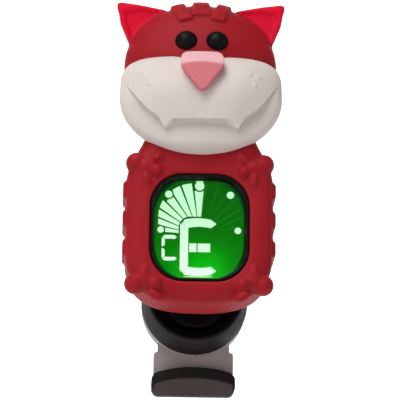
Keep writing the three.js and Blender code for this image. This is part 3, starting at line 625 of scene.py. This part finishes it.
def sliced(bm, point, normal):
    """Cuts a shape at a plane, drops what lies beyond it and closes the cut."""
    everything = bm.verts[:] + bm.edges[:] + bm.faces[:]
    bmesh.ops.bisect_plane(bm, geom=everything, plane_co=point, plane_no=normal, clear_outer=True)
    bmesh.ops.holes_fill(bm, edges=[e for e in bm.edges if e.is_boundary], sides=0)


STRIPE_PROUD = 0.8
STRIPE_LEAN = 0.355  # radians from one stripe to the next
STRIPE_END_TURN = 0.2  # radians that a side stripe's lower end is turned


def add_stripe(bm, place):
    """One raised stripe over the forehead: a slice of a slightly larger head."""
    width, rise = (2.8, 9.4) if place else (3.3, 10.0)
    stripe = head_shape(STRIPE_PROUD)
    lean = Matrix.Rotation(place * STRIPE_LEAN, 3, "Y")
    level = Matrix.Rotation(place * STRIPE_END_TURN, 3, "Y")
    across, down = lean @ Vector((1, 0, 0)), level @ Vector((0, 0, -1))
    lowest = HEAD_CENTRE + Vector((0, 0, rise))
    sliced(stripe, HEAD_CENTRE + across * width / 2, across)
    sliced(stripe, HEAD_CENTRE - across * width / 2, -across)
    sliced(stripe, lowest, down)
    add_shape(bm, stripe)


def ear_outline(side, inset):
    """An ear in X and Z, its edges drawn in by an inset."""
    tip, inner, outer = Vector((17.65, 48.5)), Vector((7.2, 46.7)), Vector((14.5, 39.2))
    root = Vector((8.0, 37.0))
    middle = Vector((13.6, 44.6))
    corner = 2.6
    along_top = (inner - tip).normalized()
    along_side = (outer - tip).normalized()
    arc = bezier(tip + along_top * corner, tip + along_top * 0.3, tip + along_side * 0.3,
                 tip + along_side * corner, 8)
    bow = (tip + outer) / 2 + Vector((0.35, -0.1))
    top_bow = (tip + inner) / 2 + Vector((0, 0.12))
    points = [inner, top_bow, *arc, tip + along_side * corner, bow, outer, root]
    drawn = []
    for p in points:
        away = middle - p
        drawn.append(p + away.normalized() * min(inset * (1 + 1.2 * (p in arc)), away.length * 0.8))
    return [Vector((side * p.x, p.y)) for p in drawn]


def add_ear(bm, side):
    """A thin pointed web beside the brow, with a raised rim round its hollow front."""
    middle = HEAD_CENTRE.y - 0.2
    front, back, rim, floor = middle - 1.35, middle + 1.0, 0.95, middle - 0.95
    ear = bmesh.new()
    add_prism(ear, ear_outline(side, 0), front, back, 0.45, 0.5, 3)
    hollow = prism_only(ear_outline(side, rim), middle - 3, floor)
    add_shape(bm, carved(ear, [hollow]))


TOE_RADII = (0.95, 1.15, 1.8)  # a paw's outer toes


def add_paw(bm, side, upper):
    """A round paw at a corner of the body, with three toes."""
    front = SLEEVE_FRONT
    lump = 13.3 if upper else -11.4
    inward = -1 if upper else 1
    add_ball(bm, (side * 12.85, front + 1.9, lump), (2.1, 2.7, 2.1))
    add_ball(bm, (side * 10.9, front + 0.9, lump + 0.9 * inward), (2.3, 1.7, 1.9))
    middle = 11.45 if upper else -11.55
    add_ball(bm, (side * 8.75, front + 0.1, middle), (1.3, 1.45, 1.25))
    toes = ((8.7, 14.25, 56), (10.75, 9.7, -12)) if upper else ((8.7, -14.0, -60), (11.0, -9.4, 12))
    for x, z, lean in toes:
        turn = Matrix.Rotation(math.radians(-lean * side), 4, "Y")
        add_ball(bm, (side * x, front + 0.25, z), TOE_RADII, turn=turn)


def add_ridges(bm):
    """Three raised bars down each flank."""
    half, corner, tuck = 1.6, 0.45, 0.95
    for side in (-1, 1):
        for height in (8.2, 2.25, -3.65):
            outline = round_rectangle(half, half, corner, 4, (side * (BODY_HALF - tuck), height))
            add_prism(bm, outline, SLEEVE_FRONT + 2.6, SLEEVE_BACK - 2.2, 0.9, 0.9, 3)


def prism_only(outline, front, back):
    bm = bmesh.new()
    add_prism(bm, outline, front, back)
    return bm


def make_sleeve():
    torso = bmesh.new()
    add_prism(torso, body_outline(), SLEEVE_FRONT, SLEEVE_BACK, 3.2, 2.4, 6)
    window = prism_only(round_rectangle(*WINDOW, 18), SLEEVE_FRONT - 3, 0)
    half, tall, corner, middle = CORE
    core = round_rectangle(half, tall, corner, 12, (0, middle))
    core = prism_only(core, CORE_FRONT, SLEEVE_BACK + 3)
    torso = carved(torso, [window, core])
    add_shape(torso, head_shape())
    for place in (-1, 0, 1):
        add_stripe(torso, place)
    for side in (-1, 1):
        add_ear(torso, side)
        for upper in (True, False):
            add_paw(torso, side, upper)
    add_ridges(torso)
    skin = fused(torso, 0.3, 3)
    obj = piece(skin, "cat_sleeve", TO_HEAD, "tuner_head", SKIN_RED, ("silicone_sleeve",))
    # The ears get a brighter red, painted in for light shining through them.
    store_painted_light(obj, painted_ear_glow)


def store_painted_light(obj, rule):
    """Stores each point's share of the painted-light colour, by a rule in the cat's millimetres."""
    painted_light = obj.data.attributes.new("painted_light", "FLOAT", "POINT")
    for v, share in zip(obj.data.vertices, painted_light.data):
        share.value = rule((v.co - head_origin) / MM)


def painted_ear_glow(p):
    """1 on the ears, where a brighter red is painted in for the light that shows through their thin
    skin.
    """
    if p.z < 39.5 or abs(p.x) < 7.6:
        return 0.0
    dome = math.hypot(p.x / HEAD_RADII.x, (p.z - HEAD_CENTRE.z) / HEAD_RADII.z)
    return blend_step(0.99, 1.05, dome)


MOUTH_DEPTH = 1.9
WHISKERS = ((9.5, 30.25), (11.5, 29.9), (10.5, 28.05))  # a cheek's small bumps, X and Z
WHISKER_PROUD = 0.3
WHISKER_REACH = 0.75


def smile_line(x):
    """Height of the cheeks' lower edge."""
    return 20.65 + 0.09 * max(abs(x) - 5.9, 0) ** 2


def lip_line(x):
    """Height of the lower lip."""
    return 16.8 + 0.004 * x * x + 9.5e-5 * x ** 4


def cheek_cover(x, z):
    """1 on the cheeks and fangs, 0 in the mouth."""
    tip, side = 18.55, 7.3
    out = abs(x) - side
    lean = out if out > 0 else -out * 0.8
    fang = z - tip - 0.25 - 1.05 * lean - 0.42 * lean * lean
    fang = min(fang * 0.55, z - tip)
    return blend_step(-0.08, 0.22, max(z - smile_line(x), fang))


def muzzle_point(unit):
    """Where a point of a unit ball lies on the muzzle."""
    x, y, z = unit
    power = 2 + 2 * blend_step(-0.05, 0.5, z)
    flat = math.hypot(x, z)
    boxy = flat / (abs(x) ** power + abs(z) ** power) ** (1 / power) if flat > 1e-6 else 1
    boxy = 1 + (boxy - 1) * flat
    rise = MUZZLE_RISE if z > 0 else MUZZLE_RADII.z
    front = max(-y, 0)
    px = MUZZLE_RADII.x * x * boxy
    py = MUZZLE_RADII.y * y
    pz = rise * z * boxy
    pz -= (1.0 * bump(px, 0, 6)) * max(z, 0)
    py -= 0.8 * front * bump(abs(px), 7.8, 7) * bump(pz, 1.5, 8)
    py += 0.35 * front * bump(px, 0, 3.2) * bump(pz, -1, 7)
    at_z = pz + MUZZLE_CENTRE.z
    p = Vector((px, py, pz))
    line, lip = smile_line(px), lip_line(px)
    in_mouth = blend_step(lip - 0.5, lip + 0.6 * max(line - lip, 0.8), at_z)
    depth = MOUTH_DEPTH * in_mouth * (1 - cheek_cover(px, at_z)) * blend_step(0.0, 0.3, front)
    depth *= blend_step(15.8, 13.0, abs(px))
    depth -= 0.35 * bump(at_z, lip - 0.9, 1.5) * front
    for bump_x, bump_z in WHISKERS:
        away = math.hypot(abs(px) - bump_x, at_z - bump_z)
        depth -= WHISKER_PROUD * bump(away, 0, WHISKER_REACH)
    return MUZZLE_CENTRE + p * (1 - depth / p.length)


def make_muzzle():
    bm = bmesh.new()
    bmesh.ops.create_icosphere(bm, subdivisions=7, radius=1)
    for v in bm.verts:
        v.co = muzzle_point(v.co)
    sliced(bm, Vector((0, MUZZLE_BACK, 0)), Vector((0, 1, 0)))
    piece(bm, "cat_muzzle", TO_HEAD, "tuner_head", SKIN_WHITE, ("muzzle",),
          crease=60)


NOSE_BACK = -10.0  # inside the muzzle


def make_nose():
    """A plump triangle whose upper band slopes back, painted a paler pink as it looks lit from
    above.
    """
    half, top, wide, tip, front = 4.3, 34.7, 32.4, 26.3, -16.6
    right = bezier((0, tip), (0.5, tip), (0.9, tip + 0.3), (1.25, tip + 0.9), 6)
    right += bezier((1.25, tip + 0.9), (half - 0.9, wide - 2.3), (half, wide - 1.5),
                    (half, wide), 12)
    right += bezier((half, wide), (half, top - 0.7), (half - 0.5, top - 0.1), (half - 1.5, top), 8)
    right += bezier((half - 1.5, top), (half - 2.3, top + 0.1), (1, top + 0.1), (0, top + 0.1), 5)
    right.append(Vector((0, top + 0.1)))
    outline = right + [Vector((-p.x, p.y)) for p in reversed(right[1:-1])]
    bm = bmesh.new()
    add_prism(bm, outline, front, NOSE_BACK)
    skin = fused(bm, 0.15, 9)
    for v in skin.verts:
        nearness = blend_step(-12.0, -15.5, v.co.y)
        slope = max(v.co.z - wide + 0.35, 0)
        v.co.y += nearness * (1.05 * math.sqrt(slope * slope + 0.05) - 0.2 + 0.014 * v.co.x ** 2)
    obj = piece(skin, "cat_nose", TO_HEAD, "tuner_head", SKIN_PINK, ("nose",))
    # Painted highlight: the upper band, facing up towards the light, gets the paler pink.
    store_painted_light(obj, lambda p: blend_step(wide - 0.75, wide - 0.25, p.z + 0.03 * p.x ** 2))


EYE_PLACE = (3.08, -8.15, 38.35)
EYE_RADII = (2.3, 2.05, 2.15)


def make_eye(name, side):
    bm = bmesh.new()
    across, y, z = EYE_PLACE
    add_ball(bm, (side * across, y, z), EYE_RADII, 48, 32)
    piece(bm, f"cat_{name}", TO_HEAD, "tuner_head", EYE_BLACK, (name,))


# ---- Display marks -----------------------------------------------------------------------------

MARK_FRONT = GLASS_FRONT - 0.06
MARK_BACK = GLASS_FRONT - 0.02
FAN_CENTRE = Vector((0, -1.0))
FAN_START, FAN_STEP, FAN_SHRINK = 6.2, 13.8, 0.6  # degrees: first edge, first wedge, less each time
# half width, half height, corner radius and centre of the outlines that the fan lies between
FAN_INNER = (4.15, 3.75, 2.3, (0, -1.05))
FAN_OUTER = (8.25, 9.35, 7.0, (0, 0.15))


def add_flat(bm, points):
    add_prism(bm, points, MARK_FRONT, MARK_BACK)


def add_disc(bm, x, z, radius):
    add_flat(bm, [Vector((x + radius * math.cos(a), z + radius * math.sin(a)))
                  for a in (math.tau * i / 32 for i in range(32))])


def edge_distance(direction, half_width, half_height, corner, centre):
    """How far a line from the fan's centre runs before it leaves a rectangle with round corners."""
    low, high = 0.0, 20.0
    for _ in range(30):
        middle = (low + high) / 2
        p = FAN_CENTRE + direction * middle - Vector(centre)
        qx = max(abs(p.x) - half_width + corner, 0)
        qz = max(abs(p.y) - half_height + corner, 0)
        if math.hypot(qx, qz) < corner:
            low = middle
        else:
            high = middle
    return low


def fan_angles(count):
    """Edges of the needle's wedges, from upright to level, in radians."""
    angles, at = [], FAN_START
    for i in range(count + 1):
        angles.append(math.radians(at))
        at -= FAN_STEP - FAN_SHRINK * i
    return angles


def add_wedge(bm, first, last, clear_of, mirror=1):
    """One wedge of the needle fan, trimmed round the dot that it meets."""
    steps = 14
    rows = [[], []]
    for i in range(steps + 1):
        angle = first + (last - first) * i / steps
        direction = Vector((math.sin(angle), math.cos(angle)))
        inner = edge_distance(direction, *FAN_INNER)
        outer = edge_distance(direction, *FAN_OUTER)
        for x, z, radius in clear_of:
            to_dot = Vector((x, z)) - FAN_CENTRE
            along = to_dot.dot(direction)
            if along <= 0:
                continue
            off = (to_dot - direction * along).length
            clear = radius + DOT_CLEARANCE
            if last < math.atan2(to_dot.x, to_dot.y) < first:
                outer = min(outer, along - 0.75 * clear)
            if off < clear:
                outer = min(outer, along - math.sqrt(clear ** 2 - off ** 2))
        rows[0].append(FAN_CENTRE + direction * inner)
        rows[1].append(FAN_CENTRE + direction * outer)
    points = rows[0] + rows[1][::-1]
    add_flat(bm, [Vector((p.x * mirror, p.y)) for p in points])


DOTS = (  # X, Z and radius
    (0, 9.0, 0.94), (-6.2, 7.2, 0.74), (6.2, 7.2, 0.74), (-7.75, -0.08, 0.66), (7.75, -0.08, 0.66),
)
WEDGES = 8
WEDGE_GAP = 0.02  # radians left clear on each side of a wedge
DOT_CLEARANCE = 0.3
HAIRLINE = 0.014  # radians across each of the unlit side's rays


def level_bar(left, right, outer, inner, bow, mitre, flip=1):
    """A letter's level bar: mitred at the left, pointed at the right, its long edges bowed."""
    thick = abs(outer - inner)
    points = [Vector((left, (outer + inner) / 2 + flip * thick * 0.1))]
    for i in range(9):
        x = left + mitre * 0.4 + (right - left - mitre * 1.3) * i / 8
        points.append(Vector((x, outer + flip * bow * math.sin(math.pi * i / 8))))
    points.append(Vector((right, (outer + inner) / 2)))
    for i in range(9):
        x = right - mitre * 0.85 - (right - left - mitre * 1.7) * i / 8
        points.append(Vector((x, inner + flip * bow * math.sin(math.pi * i / 8))))
    return points


def upright_bar(left, right, top, bottom, mitre):
    """A letter's upright bar, mitred at both ends towards its right side."""
    corner = (right - left) * 0.22
    return [Vector(p) for p in (
        (left, top - corner), (left + corner, top), (right, top - mitre),
        (right, bottom + mitre), (left + corner, bottom), (left, bottom + corner))]


def add_letter_e(bm):
    add_flat(bm, upright_bar(-3.85, -2.2, 1.36, -8.62, 1.1))
    add_flat(bm, level_bar(-3.4, 3.46, 2.1, 0.34, 0.28, 1.3))
    add_flat(bm, level_bar(-3.4, 3.46, -9.25, -7.6, 0.22, 1.3, -1))
    for left, right in ((-2.0, -0.52), (-0.28, 2.22)):
        middle = ((left + right) / 2, -3.7)
        add_flat(bm, round_rectangle((right - left) / 2, 0.88, 0.06, 2, middle))


def add_letter_c(bm):
    add_flat(bm, upright_bar(-7.5, -6.88, -1.62, -3.58, 0.4))
    add_flat(bm, upright_bar(-7.5, -6.88, -3.8, -5.9, 0.4))
    add_flat(bm, level_bar(-7.3, -4.43, -1.2, -1.98, 0.06, 0.55))
    add_flat(bm, level_bar(-7.3, -4.43, -6.35, -5.6, 0.06, 0.55, -1))


def make_display_marks():
    bm = bmesh.new()
    for dot in DOTS:
        add_disc(bm, *dot)
    angles = fan_angles(WEDGES)
    for first, last in zip(angles, angles[1:]):
        add_wedge(bm, first - WEDGE_GAP, last + WEDGE_GAP, DOTS)
    add_letter_e(bm)
    add_letter_c(bm)
    piece(bm, "display_segments", TO_HEAD, "tuner_head", SEGMENT_MINT,
          crease=30)
    faint = bmesh.new()
    for angle in angles[1:-1]:
        add_wedge(faint, angle + HAIRLINE / 2, angle - HAIRLINE / 2, DOTS, mirror=-1)
    piece(faint, "display_unlit_segments", TO_HEAD, "tuner_head", SEGMENT_FAINT,
          crease=30)


# ---- Swivel cup --------------------------------------------------------------------------------

def turned(profile, steps=96):
    """A ring or disc turned about the swivel axis from a closed row of radius and Y pairs."""
    bm = bmesh.new()
    verts = [bm.verts.new((r, y, SWIVEL_HEIGHT)) for r, y in profile]
    edges = [bm.edges.new(pair) for pair in zip(verts, verts[1:])]
    bmesh.ops.spin(bm, geom=verts + edges, cent=(0, 0, SWIVEL_HEIGHT), axis=(0, 1, 0),
                   angle=math.tau, steps=steps, use_merge=True)
    bmesh.ops.remove_doubles(bm, verts=bm.verts, dist=1e-4)
    return bm


def make_cup():
    """The cup, a dish with sloping sides, and the collar ring that holds the ball in it."""
    front, back = CUP_FRONT, CUP_BACK
    profile = [
        (2.2, back), (10.8, back), (11.1, back - 0.4), (10.05, front + 0.5), (9.8, front),
        (9.2, front + 0.1), (8.3, front + 2.3), (7.6, front + 2.9), (7.4, back - 1.6),
        (2.2, back - 1.6), (2.2, back),
    ]
    cup = piece(turned(profile), "cup_shell", TO_CLIP, "swivel_cup", PLASTIC_DARK,
                ("swivel_cup",), crease=30)
    add_edge_radius(cup, 0.22)
    collar_front = front + 1.2
    profile = [
        (7.05, collar_front + 0.4), (6.8, collar_front), (6.3, collar_front), (3.9, front + 2.1),
        (4.3, front + 3.8), (4.3, front + 6.7), (7.05, front + 6.7), (7.05, collar_front + 0.4),
    ]
    collar = piece(turned(profile), "collar_ring", TO_CLIP, "swivel_cup", PLASTIC_BLACK,
                   ("socket_collar",), crease=30)
    add_edge_radius(collar, 0.15)


# ---- Clip and covers ---------------------------------------------------------------------------

def make_mechanical_copies():
    for node, body, material, slot, width in (
        ("front_arm", "front_arm", PLASTIC_GREY, "grey_plastic", 0.7),
        ("rear_arm", "rear_arm", PLASTIC_BLACK, "black_plastic", 0.4),
        ("rear_jaw_pad", "rear_arm", RUBBER_BLACK, "black_rubber", 0.3),
        ("rear_cover", "tuner_head", PLASTIC_BLACK, "black_plastic", 0.15),
        ("battery_door", "battery_door", PLASTIC_BLACK, "black_plastic", 0.15),
        ("power_button", "power_button", RUBBER_BLACK, "black_rubber", 0.25),
    ):
        softened_copy(node, body, material, width)


TOE_FRONT = -7.4
TOE_TOP = 3.05
TOE_HALF = 8.7
TOE_ARCH = 1.5  # drop of the band's edge from the middle to the sides
TOE_BAND = 2.5
TOE_SLOPE = 3.0  # how far the lower face runs back


def toe_section(share, bottom):
    """The toe's outline in Y and Z, at a share of its half width from the middle."""
    drop = TOE_ARCH * abs(share) ** 2.2
    round_in = 1.3 * (max(abs(share) - 0.88, 0) / 0.12) ** 2
    drop += 0.7 * (max(abs(share) - 0.9, 0) / 0.1) ** 2
    lowest = bottom + round_in * 0.8
    bowed = TOE_FRONT + 0.1 * share * share
    return (
        (bowed, TOE_TOP - drop),
        (bowed, TOE_TOP - drop - TOE_BAND),
        (TOE_FRONT + TOE_SLOPE, lowest),
        (-0.9, lowest),
        (0.0, lowest + 0.9),
        (0.0, TOE_TOP - drop),
        (-5.2, TOE_TOP - drop),
    )


def make_toe():
    """The rubber toe: an arched band in front, a sloped face below it, a flat grip behind."""
    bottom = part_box("front_jaw_pad")[0].z / MM
    steps = 28
    bm = bmesh.new()
    rows = []
    for i in range(steps + 1):
        share = 2 * i / steps - 1
        rows.append([bm.verts.new((share * TOE_HALF, y, z)) for y, z in toe_section(share, bottom)])
    for row, following in zip(rows, rows[1:]):
        for i, corner in enumerate(row):
            j = (i + 1) % len(row)
            bm.faces.new((corner, row[j], following[j], following[i]))
    bm.faces.new(rows[0])
    bm.faces.new(rows[-1])
    toe = piece(bm, "toe_rubber", TO_CLIP, "front_arm", RUBBER_BLACK, ("front_jaw_pad",),
                crease=24)
    add_edge_radius(toe, 0.35, 24)
    # Painted reflection: faces turned down and forward, towards the bright floor, get the paler
    # rubber colour.
    painted_light = toe.data.attributes.new("painted_light", "FLOAT", "FACE")
    for face, share in zip(toe.data.polygons, painted_light.data):
        share.value = 1.0 if face.normal.y < -0.3 and face.normal.z < -0.3 else 0.0


def add_funnel(bm, near, near_y, far, far_y):
    """A closed shape between two outlines with the same number of points."""
    loops = [[bm.verts.new((p.x, y, p.y)) for p in outline]
             for outline, y in ((near, near_y), (far, far_y))]
    count = len(near)
    for i in range(count):
        j = (i + 1) % count
        bm.faces.new((loops[0][i], loops[0][j], loops[1][j], loops[1][i]))
    for loop in loops:
        bm.faces.new(loop)
    bmesh.ops.recalc_face_normals(bm, faces=bm.faces)


def window_outline(inset):
    half, tall, corner = WINDOW
    return round_rectangle(half - inset, tall - inset, corner - inset, 18)


def make_housing():
    """The display unit's shell, with a thin rim in the window that slopes in to the glass."""
    half, tall, corner, middle = CORE
    half, tall, corner = half - 0.3, tall - 0.3, corner - 0.3
    front, back = CORE_FRONT + 0.3, COVER_BACK - 1.6
    shell = prism_only(round_rectangle(half, tall, corner, 12, (0, middle)), front, back)
    hollow = prism_only(
        round_rectangle(half - 1, tall - 1, corner - 1, 12, (0, middle)), front + 0.9, back + 3)
    shell = carved(shell, [hollow])
    rim = prism_only(window_outline(0.25), SLEEVE_FRONT + 0.35, front + 0.5)
    shell = combined(shell, [rim], "UNION")
    opening = bmesh.new()
    add_funnel(opening, window_outline(0.62), SLEEVE_FRONT - 0.2, window_outline(1.0), front + 0.95)
    shell = carved(shell, [opening])
    piece(shell, "housing_shell", TO_HEAD, "tuner_head", PLASTIC_BLACK, ("front_housing",),
          crease=30)


SPRING_TURNS = 4.5
SPRING_PITCH = 0.84
SPRING_RADIUS = 1.9
SPRING_WIRE = 0.35
SPRING_LEG = 12.0
SPRING_LEAN = (4.5, 4.4)  # how far the front and rear legs lean out


def spring_route():
    """Points along the wire: down the front arm, round the hinge pin, up the rear arm."""
    low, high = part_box("hinge_pin")
    pin_y, pin_z = (low.y + high.y) / 2 / MM, (low.z + high.z) / 2 / MM
    half = SPRING_TURNS * SPRING_PITCH / 2
    front_lean, rear_lean = SPRING_LEAN
    points = []
    for i in range(9):
        rise = 1 - i / 9
        points.append((-half, pin_y - SPRING_RADIUS - front_lean * rise, pin_z + SPRING_LEG * rise))
    steps = 120
    for i in range(steps + 1):
        angle = math.pi + math.tau * SPRING_TURNS * i / steps
        points.append((half * (2 * i / steps - 1), pin_y + SPRING_RADIUS * math.cos(angle),
                       pin_z + SPRING_RADIUS * math.sin(angle)))
    for i in range(1, 10):
        rise = i / 9
        points.append((half, pin_y + SPRING_RADIUS + rear_lean * rise, pin_z + SPRING_LEG * rise))
    return points


def make_spring():
    """The torsion spring: a coil round the hinge pin with a leg up each arm."""
    points = spring_route()
    curve = bpy.data.curves.new("spring_line", "CURVE")
    curve.dimensions = "3D"
    curve.bevel_depth = SPRING_WIRE * MM
    curve.bevel_resolution = 3
    curve.use_fill_caps = True
    line = curve.splines.new("POLY")
    line.points.add(len(points) - 1)
    for point, place in zip(line.points, points):
        point.co = (*(c * MM for c in place), 1)
    stand = new_object("spring_line", curve)
    bpy.context.view_layer.update()
    evaluated = stand.evaluated_get(bpy.context.evaluated_depsgraph_get())
    mesh = bpy.data.meshes.new_from_object(evaluated)
    bpy.data.objects.remove(stand)
    spring = new_object("spring_wire", mesh)
    mesh.materials.clear()
    mesh.materials.append(STEEL)
    for f in mesh.polygons:
        f.use_smooth = True
    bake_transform(spring)
    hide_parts("torsion_spring")


# ---- Studio ------------------------------------------------------------------------------------

def add_area_light(name, at, aim, size, power, colour=(1, 1, 1)):
    data = bpy.data.lights.new(name, "AREA")
    data.shape = "DISK"
    data.size = size
    data.energy = power
    data.color = colour
    obj = new_object(name, data)
    obj.location = at
    obj.rotation_euler = (Vector(aim) - Vector(at)).to_track_quat("-Z", "Y").to_euler()


def make_sweep():
    """A pale floor that curves up into a bright wall behind."""
    floor_height, bend, wall = -0.3, 0.4, 1.6
    profile = [(-2.5, floor_height), (wall, floor_height)]
    for i in range(1, 12):
        a = math.pi / 2 * i / 12
        profile.append((wall + bend * math.sin(a), floor_height + bend * (1 - math.cos(a))))
    profile += [(wall + bend, floor_height + bend), (wall + bend, 2.8)]
    bm = bmesh.new()
    verts = [bm.verts.new((-2.2, y, z)) for y, z in profile]
    edges = [bm.edges.new(pair) for pair in zip(verts, verts[1:])]
    pulled = bmesh.ops.extrude_edge_only(bm, edges=edges)["geom"]
    far = [v for v in pulled if isinstance(v, bmesh.types.BMVert)]
    bmesh.ops.translate(bm, verts=far, vec=(4.4, 0, 0))
    sweep = new_object("studio_sweep", mesh_from(bm, "studio_sweep"))
    for f in sweep.data.polygons:
        f.use_smooth = True
    material, tree, shader = new_material("studio_white")
    on_wall = map_range(tree, one_axis(tree, own_place(tree), "Y"), wall - 0.2, wall + bend * 0.6)
    glow = colour_mix(tree, on_wall, (0.3, 0.3, 0.3), (1.0, 1.0, 1.0))
    tree.links.new(glow, shader.inputs["Emission Color"])
    set_inputs(shader, Emission_Strength=1.0, Base_Color=(0.8, 0.8, 0.8, 1), Roughness=0.9)
    sweep.data.materials.append(material)


def make_studio():
    make_sweep()
    middle = head_origin + Vector((0, 0, 0.01))
    add_area_light("key_above", middle + Vector((-0.15, -0.3, 0.55)), middle, 0.4, 2.2)
    add_area_light("fill_front", middle + Vector((-0.28, -0.7, 0.52)), middle, 0.5, 3.7)
    add_area_light("side_left", middle + Vector((-0.6, -0.3, -0.05)), middle, 0.4, 0.75)
    add_area_light("side_right", middle + Vector((0.6, -0.3, 0.1)), middle, 0.4, 0.65)

    world = bpy.data.worlds.new("studio_air")
    world.use_nodes = True
    air = world.node_tree.nodes["Background"]
    air.inputs["Color"].default_value = (1, 1, 1, 1)
    air.inputs["Strength"].default_value = 0.14
    bpy.context.scene.world = world
    bpy.context.scene.view_settings.view_transform = "Standard"


def make_camera():
    """Slightly to the left of the display and below it, looking up."""
    azimuth, elevation, roll = math.radians(-1.8), math.radians(-13), math.radians(0.6)
    distance, lens = 0.6, 270
    target = head_origin + Vector((0, SLEEVE_FRONT, 5.5)) * MM
    away = Vector((
        math.sin(azimuth) * math.cos(elevation),
        -math.cos(azimuth) * math.cos(elevation),
        math.sin(elevation),
    ))
    data = bpy.data.cameras.new("camera")
    data.lens = lens
    data.sensor_width = 36
    data.clip_start = 0.01
    camera = new_object("camera", data)
    camera.location = target + away * distance
    level = (-away).to_track_quat("-Z", "Y").to_matrix()
    camera.rotation_euler = (level @ Matrix.Rotation(roll, 3, "Z")).to_euler()
    bpy.context.scene.camera = camera


make_camera()
make_sleeve()
make_muzzle()
make_nose()
make_eye("eye_left", -1)
make_eye("eye_right", 1)
make_display_marks()
make_cup()
make_housing()
make_mechanical_copies()
make_toe()
make_spring()
make_studio()
